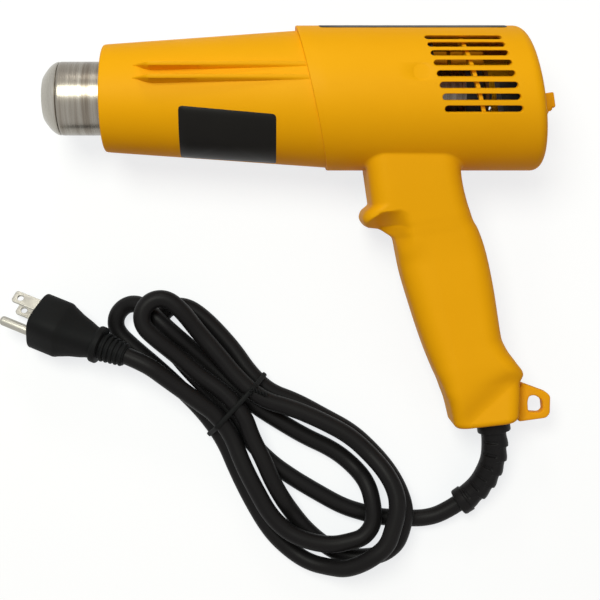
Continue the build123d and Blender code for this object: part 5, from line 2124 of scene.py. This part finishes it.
@dataclass
class Plug:
    """Moulded three-pin plug: waisted body, collar, ribbed tail, two blades and a round pin."""

    tail: Point = (-86.1, -60.46, 21.2)
    way: Point = (-0.92018, 0.35899, -0.15617)
    length: float = 49.0
    roll: float = radians(28.0)
    size: float = 24.5
    neck_size: float = 17.0
    body_roll: float = radians(13.0)
    square: float = 3.6
    collar: float = 18.8
    tail_start: float = 35.8
    rib_count: int = 5
    blade_length: float = 14.6
    blade_pitch: float = 12.7
    blade_height: float = 4.5
    blade_half: float = 3.17
    blade_tip_half: float = 2.4
    blade_tip: float = 0.9
    blade_thickness: float = 1.5
    blade_hole: tuple[float, float] = (10.9, 1.6)
    pin_length: float = 16.6
    pin_radius: float = 2.4
    pin_nose: float = 1.7
    pin_height: float = -7.4

    def axes(self) -> tuple[np.ndarray, ...]:
        """Face centre and the directions ahead, across both blades and up.

        Returns:
            The place and the three directions.
        """
        ahead = np.array(self.way) / np.linalg.norm(self.way)
        flat = np.cross((0, 0, 1), ahead)
        flat /= np.linalg.norm(flat)
        rise = np.cross(ahead, flat)
        across = rise * cos(self.roll) - flat * sin(self.roll)
        return np.array(self.tail) + ahead * self.length, ahead, across, np.cross(ahead, across)

    def place(self, back: Numbers, a: Numbers, b: Numbers) -> np.ndarray:
        """World place from behind the face, across the blades and up.

        Args:
            back: Place behind the face.
            a: Place across the blades.
            b: Place up.

        Returns:
            Array of places, in millimetres.
        """
        face, ahead, across, up = self.axes()
        back, a, b = (np.asarray(k, float)[..., None] for k in np.broadcast_arrays(back, a, b))
        return face - back * ahead + a * across + b * up

    def section(self, size: float, power: float) -> tuple[np.ndarray, ...]:
        """Soft square section; a higher power is squarer.

        Args:
            size: Its width over the flats.
            power: How square it is.

        Returns:
            Arrays of places across and up.
        """
        c, s = np.cos(around(96)), np.sin(around(96))
        r = (np.abs(c) ** power + np.abs(s) ** power) ** (-1 / power) * size / 2
        a, b = cos(self.body_roll), sin(self.body_roll)
        return r * (c * a - s * b), r * (c * b + s * a)

    def body(self, finishes: Finishes) -> bpy.types.Object:
        """Body, collar and tail as one turned and squared skin, with its row of ribs.

        Args:
            finishes: All finishes.

        Returns:
            The body, still without its finish.
        """
        size, neck, collar, tail = self.size, self.neck_size, self.collar, self.tail_start
        stations = [
            *[(back, size - less, self.square) for back, less in (
                (0.0, 2.0), (0.2, 1.2), (0.6, 0.4), (1.2, 0), (8.0, 0), (14.2, 0), (15.2, 0.5),
            )],
            (16.4, size - 1.5, 3.5), (22.0, size - 5.1, 3.2), (27.5, neck + 0.2, 2.7),
            (30.0, neck - 0.9, 2.3),
            *[(back, width, 2.0) for back, width in (
                (32.1, neck - 1.2), (32.4, collar - 0.6), (32.9, collar - 0.05), (33.6, collar),
                (35.0, collar), (35.5, collar - 0.3), (35.75, collar - 1.2), (tail, 14.0),
                (tail + 0.2, 12.7), (self.length - 0.4, 10.4), (self.length, 10.6),
                (self.length + 0.2, 9.2),
            )],
        ]
        rows = [self.place(back, *self.section(width, power)) for back, width, power in stations]
        body = skin("plug_body.moulded", rows)
        pitch = (self.length - tail) / (self.rib_count + 0.4)
        ribs = RibRow(self.rib_count, pitch * MM, 7.5 * MM, 0.375 * MM, 0.78 * MM)
        ribs = ribs.build(finishes.made["plug_rubber"])
        face, ahead, across, up = self.axes()
        spot = (face - ahead * (tail + pitch * 0.87)) * MM
        pose = np.identity(4)
        pose[:3] = np.stack([up, across, -ahead, spot], axis=-1)
        ribs.data.transform(Matrix(pose.tolist()))
        return smooth(combine(body, ribs, Cut.JOIN), 33)

    def blades(self) -> bpy.types.Object:
        """Two flat blades with chamfered tips and round holes.

        Returns:
            Both blades in one object.
        """
        end, half, tip, root = -self.blade_length, self.blade_half, self.blade_tip_half, 0.6
        near = self.blade_tip - self.blade_length
        outline = [(root, -half), (near, -half), (end, -tip), (end, tip), (near, half),
                   (root, half)]
        (ahead, r), bend = self.blade_hole, around(28)
        hole = np.stack([-ahead + r * np.cos(bend), r * np.sin(bend)], axis=-1)

        def blade(side: float) -> bpy.types.Object:
            """One blade.

            Args:
                side: Its place across.

            Returns:
                The blade.
            """
            def shape(back: np.ndarray, up: np.ndarray, off: np.ndarray) -> np.ndarray:
                """From the blade's own plane."""
                return self.place(back, side + off, self.blade_height + up)

            edge = outline_arcs(outline, 0.5, 4)
            half_thick = self.blade_thickness / 2
            return rounded_slab("plug_blades.stamped", edge, half_thick, 0.22, shape, hole)

        both = combine(blade(self.blade_pitch / 2), blade(-self.blade_pitch / 2), Cut.JOIN)
        return smooth(both, 35)

    def pin(self) -> bpy.types.Object:
        """Round earth pin with a domed nose.

        Returns:
            The pin.
        """
        nose, end = self.pin_nose, self.pin_nose - self.pin_length
        profile = [(0.4, self.pin_radius), (end, self.pin_radius)]
        for k in range(1, 9):
            a = k * pi / 16
            profile.append((end - nose * sin(a), self.pin_radius - nose + nose * cos(a)))
        angle = around(56)
        rows = [
            self.place(x, r * np.cos(angle), self.pin_height + r * np.sin(angle))
            for x, r in profile
        ]
        return smooth(skin("plug_pin.turned", rows), 40)

    def build(self, finishes: Finishes) -> list[bpy.types.Object]:
        """Makes the plug's three pieces.

        Args:
            finishes: All finishes.

        Returns:
            The dressed pieces.
        """
        return [
            finish_piece(self.body(finishes), finishes, "plug_rubber", Body.TOOL, ("plug_body",)),
            finish_piece(self.blades(), finishes, "pin_brass", Body.TOOL, ("plug_blades",)),
            finish_piece(self.pin(), finishes, "pin_brass", Body.TOOL, ("plug_ground_pin",)),
        ]


# What is inside


@dataclass
class Inside:
    """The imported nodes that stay, each with a real finish."""

    nodes_of: dict[str, str] = field(default_factory=lambda: {
        "mica": "insulation_tube heater_former",
        "heating_wire": "heating_ribbon",
        "pale_plastic": "thermal_cutout terminal_block",
        "dark_plastic": "fan_duct fan_impeller motor_endcap motor_mount switch_body cord_clamp",
        "screw_steel": "motor_shaft clamp_screws housing_screws",
        "steel": "motor_can",
        "board": "rectifier_board",
        "cord_rubber": "cord_inner",
    })

    def build(self, finishes: Finishes) -> None:
        """Puts each node's finish in its material slots.

        Args:
            finishes: All finishes.
        """
        pairs = [(name, kind) for kind, names in self.nodes_of.items() for name in names.split()]
        for name, finish in pairs:
            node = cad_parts[name]
            if not node.data.materials:
                node.data.materials.append(None)
            for k in range(len(node.data.materials)):
                node.data.materials[k] = finishes.made[finish]
            LOG.info("%s keeps its packed shape, %s", name, finish)


def main() -> None:
    """Builds the whole scene."""
    logging.basicConfig(level=logging.INFO, format="%(message)s")
    Studio().build()
    finishes = Finishes()
    cord = Cord()
    curve = cord.build(finishes)
    relief = Relief().build(cord, finishes)
    plug = Plug().build(finishes)
    tie = Tie().build(finishes)
    cord.declare()
    for part in (Housing(), Sleeve(), Outlet(), SwitchKnob(), HangLoop()):
        part.build(finishes)
    top_strip(finishes)
    Inside().build(finishes)


if __name__ == "__main__":
    main()
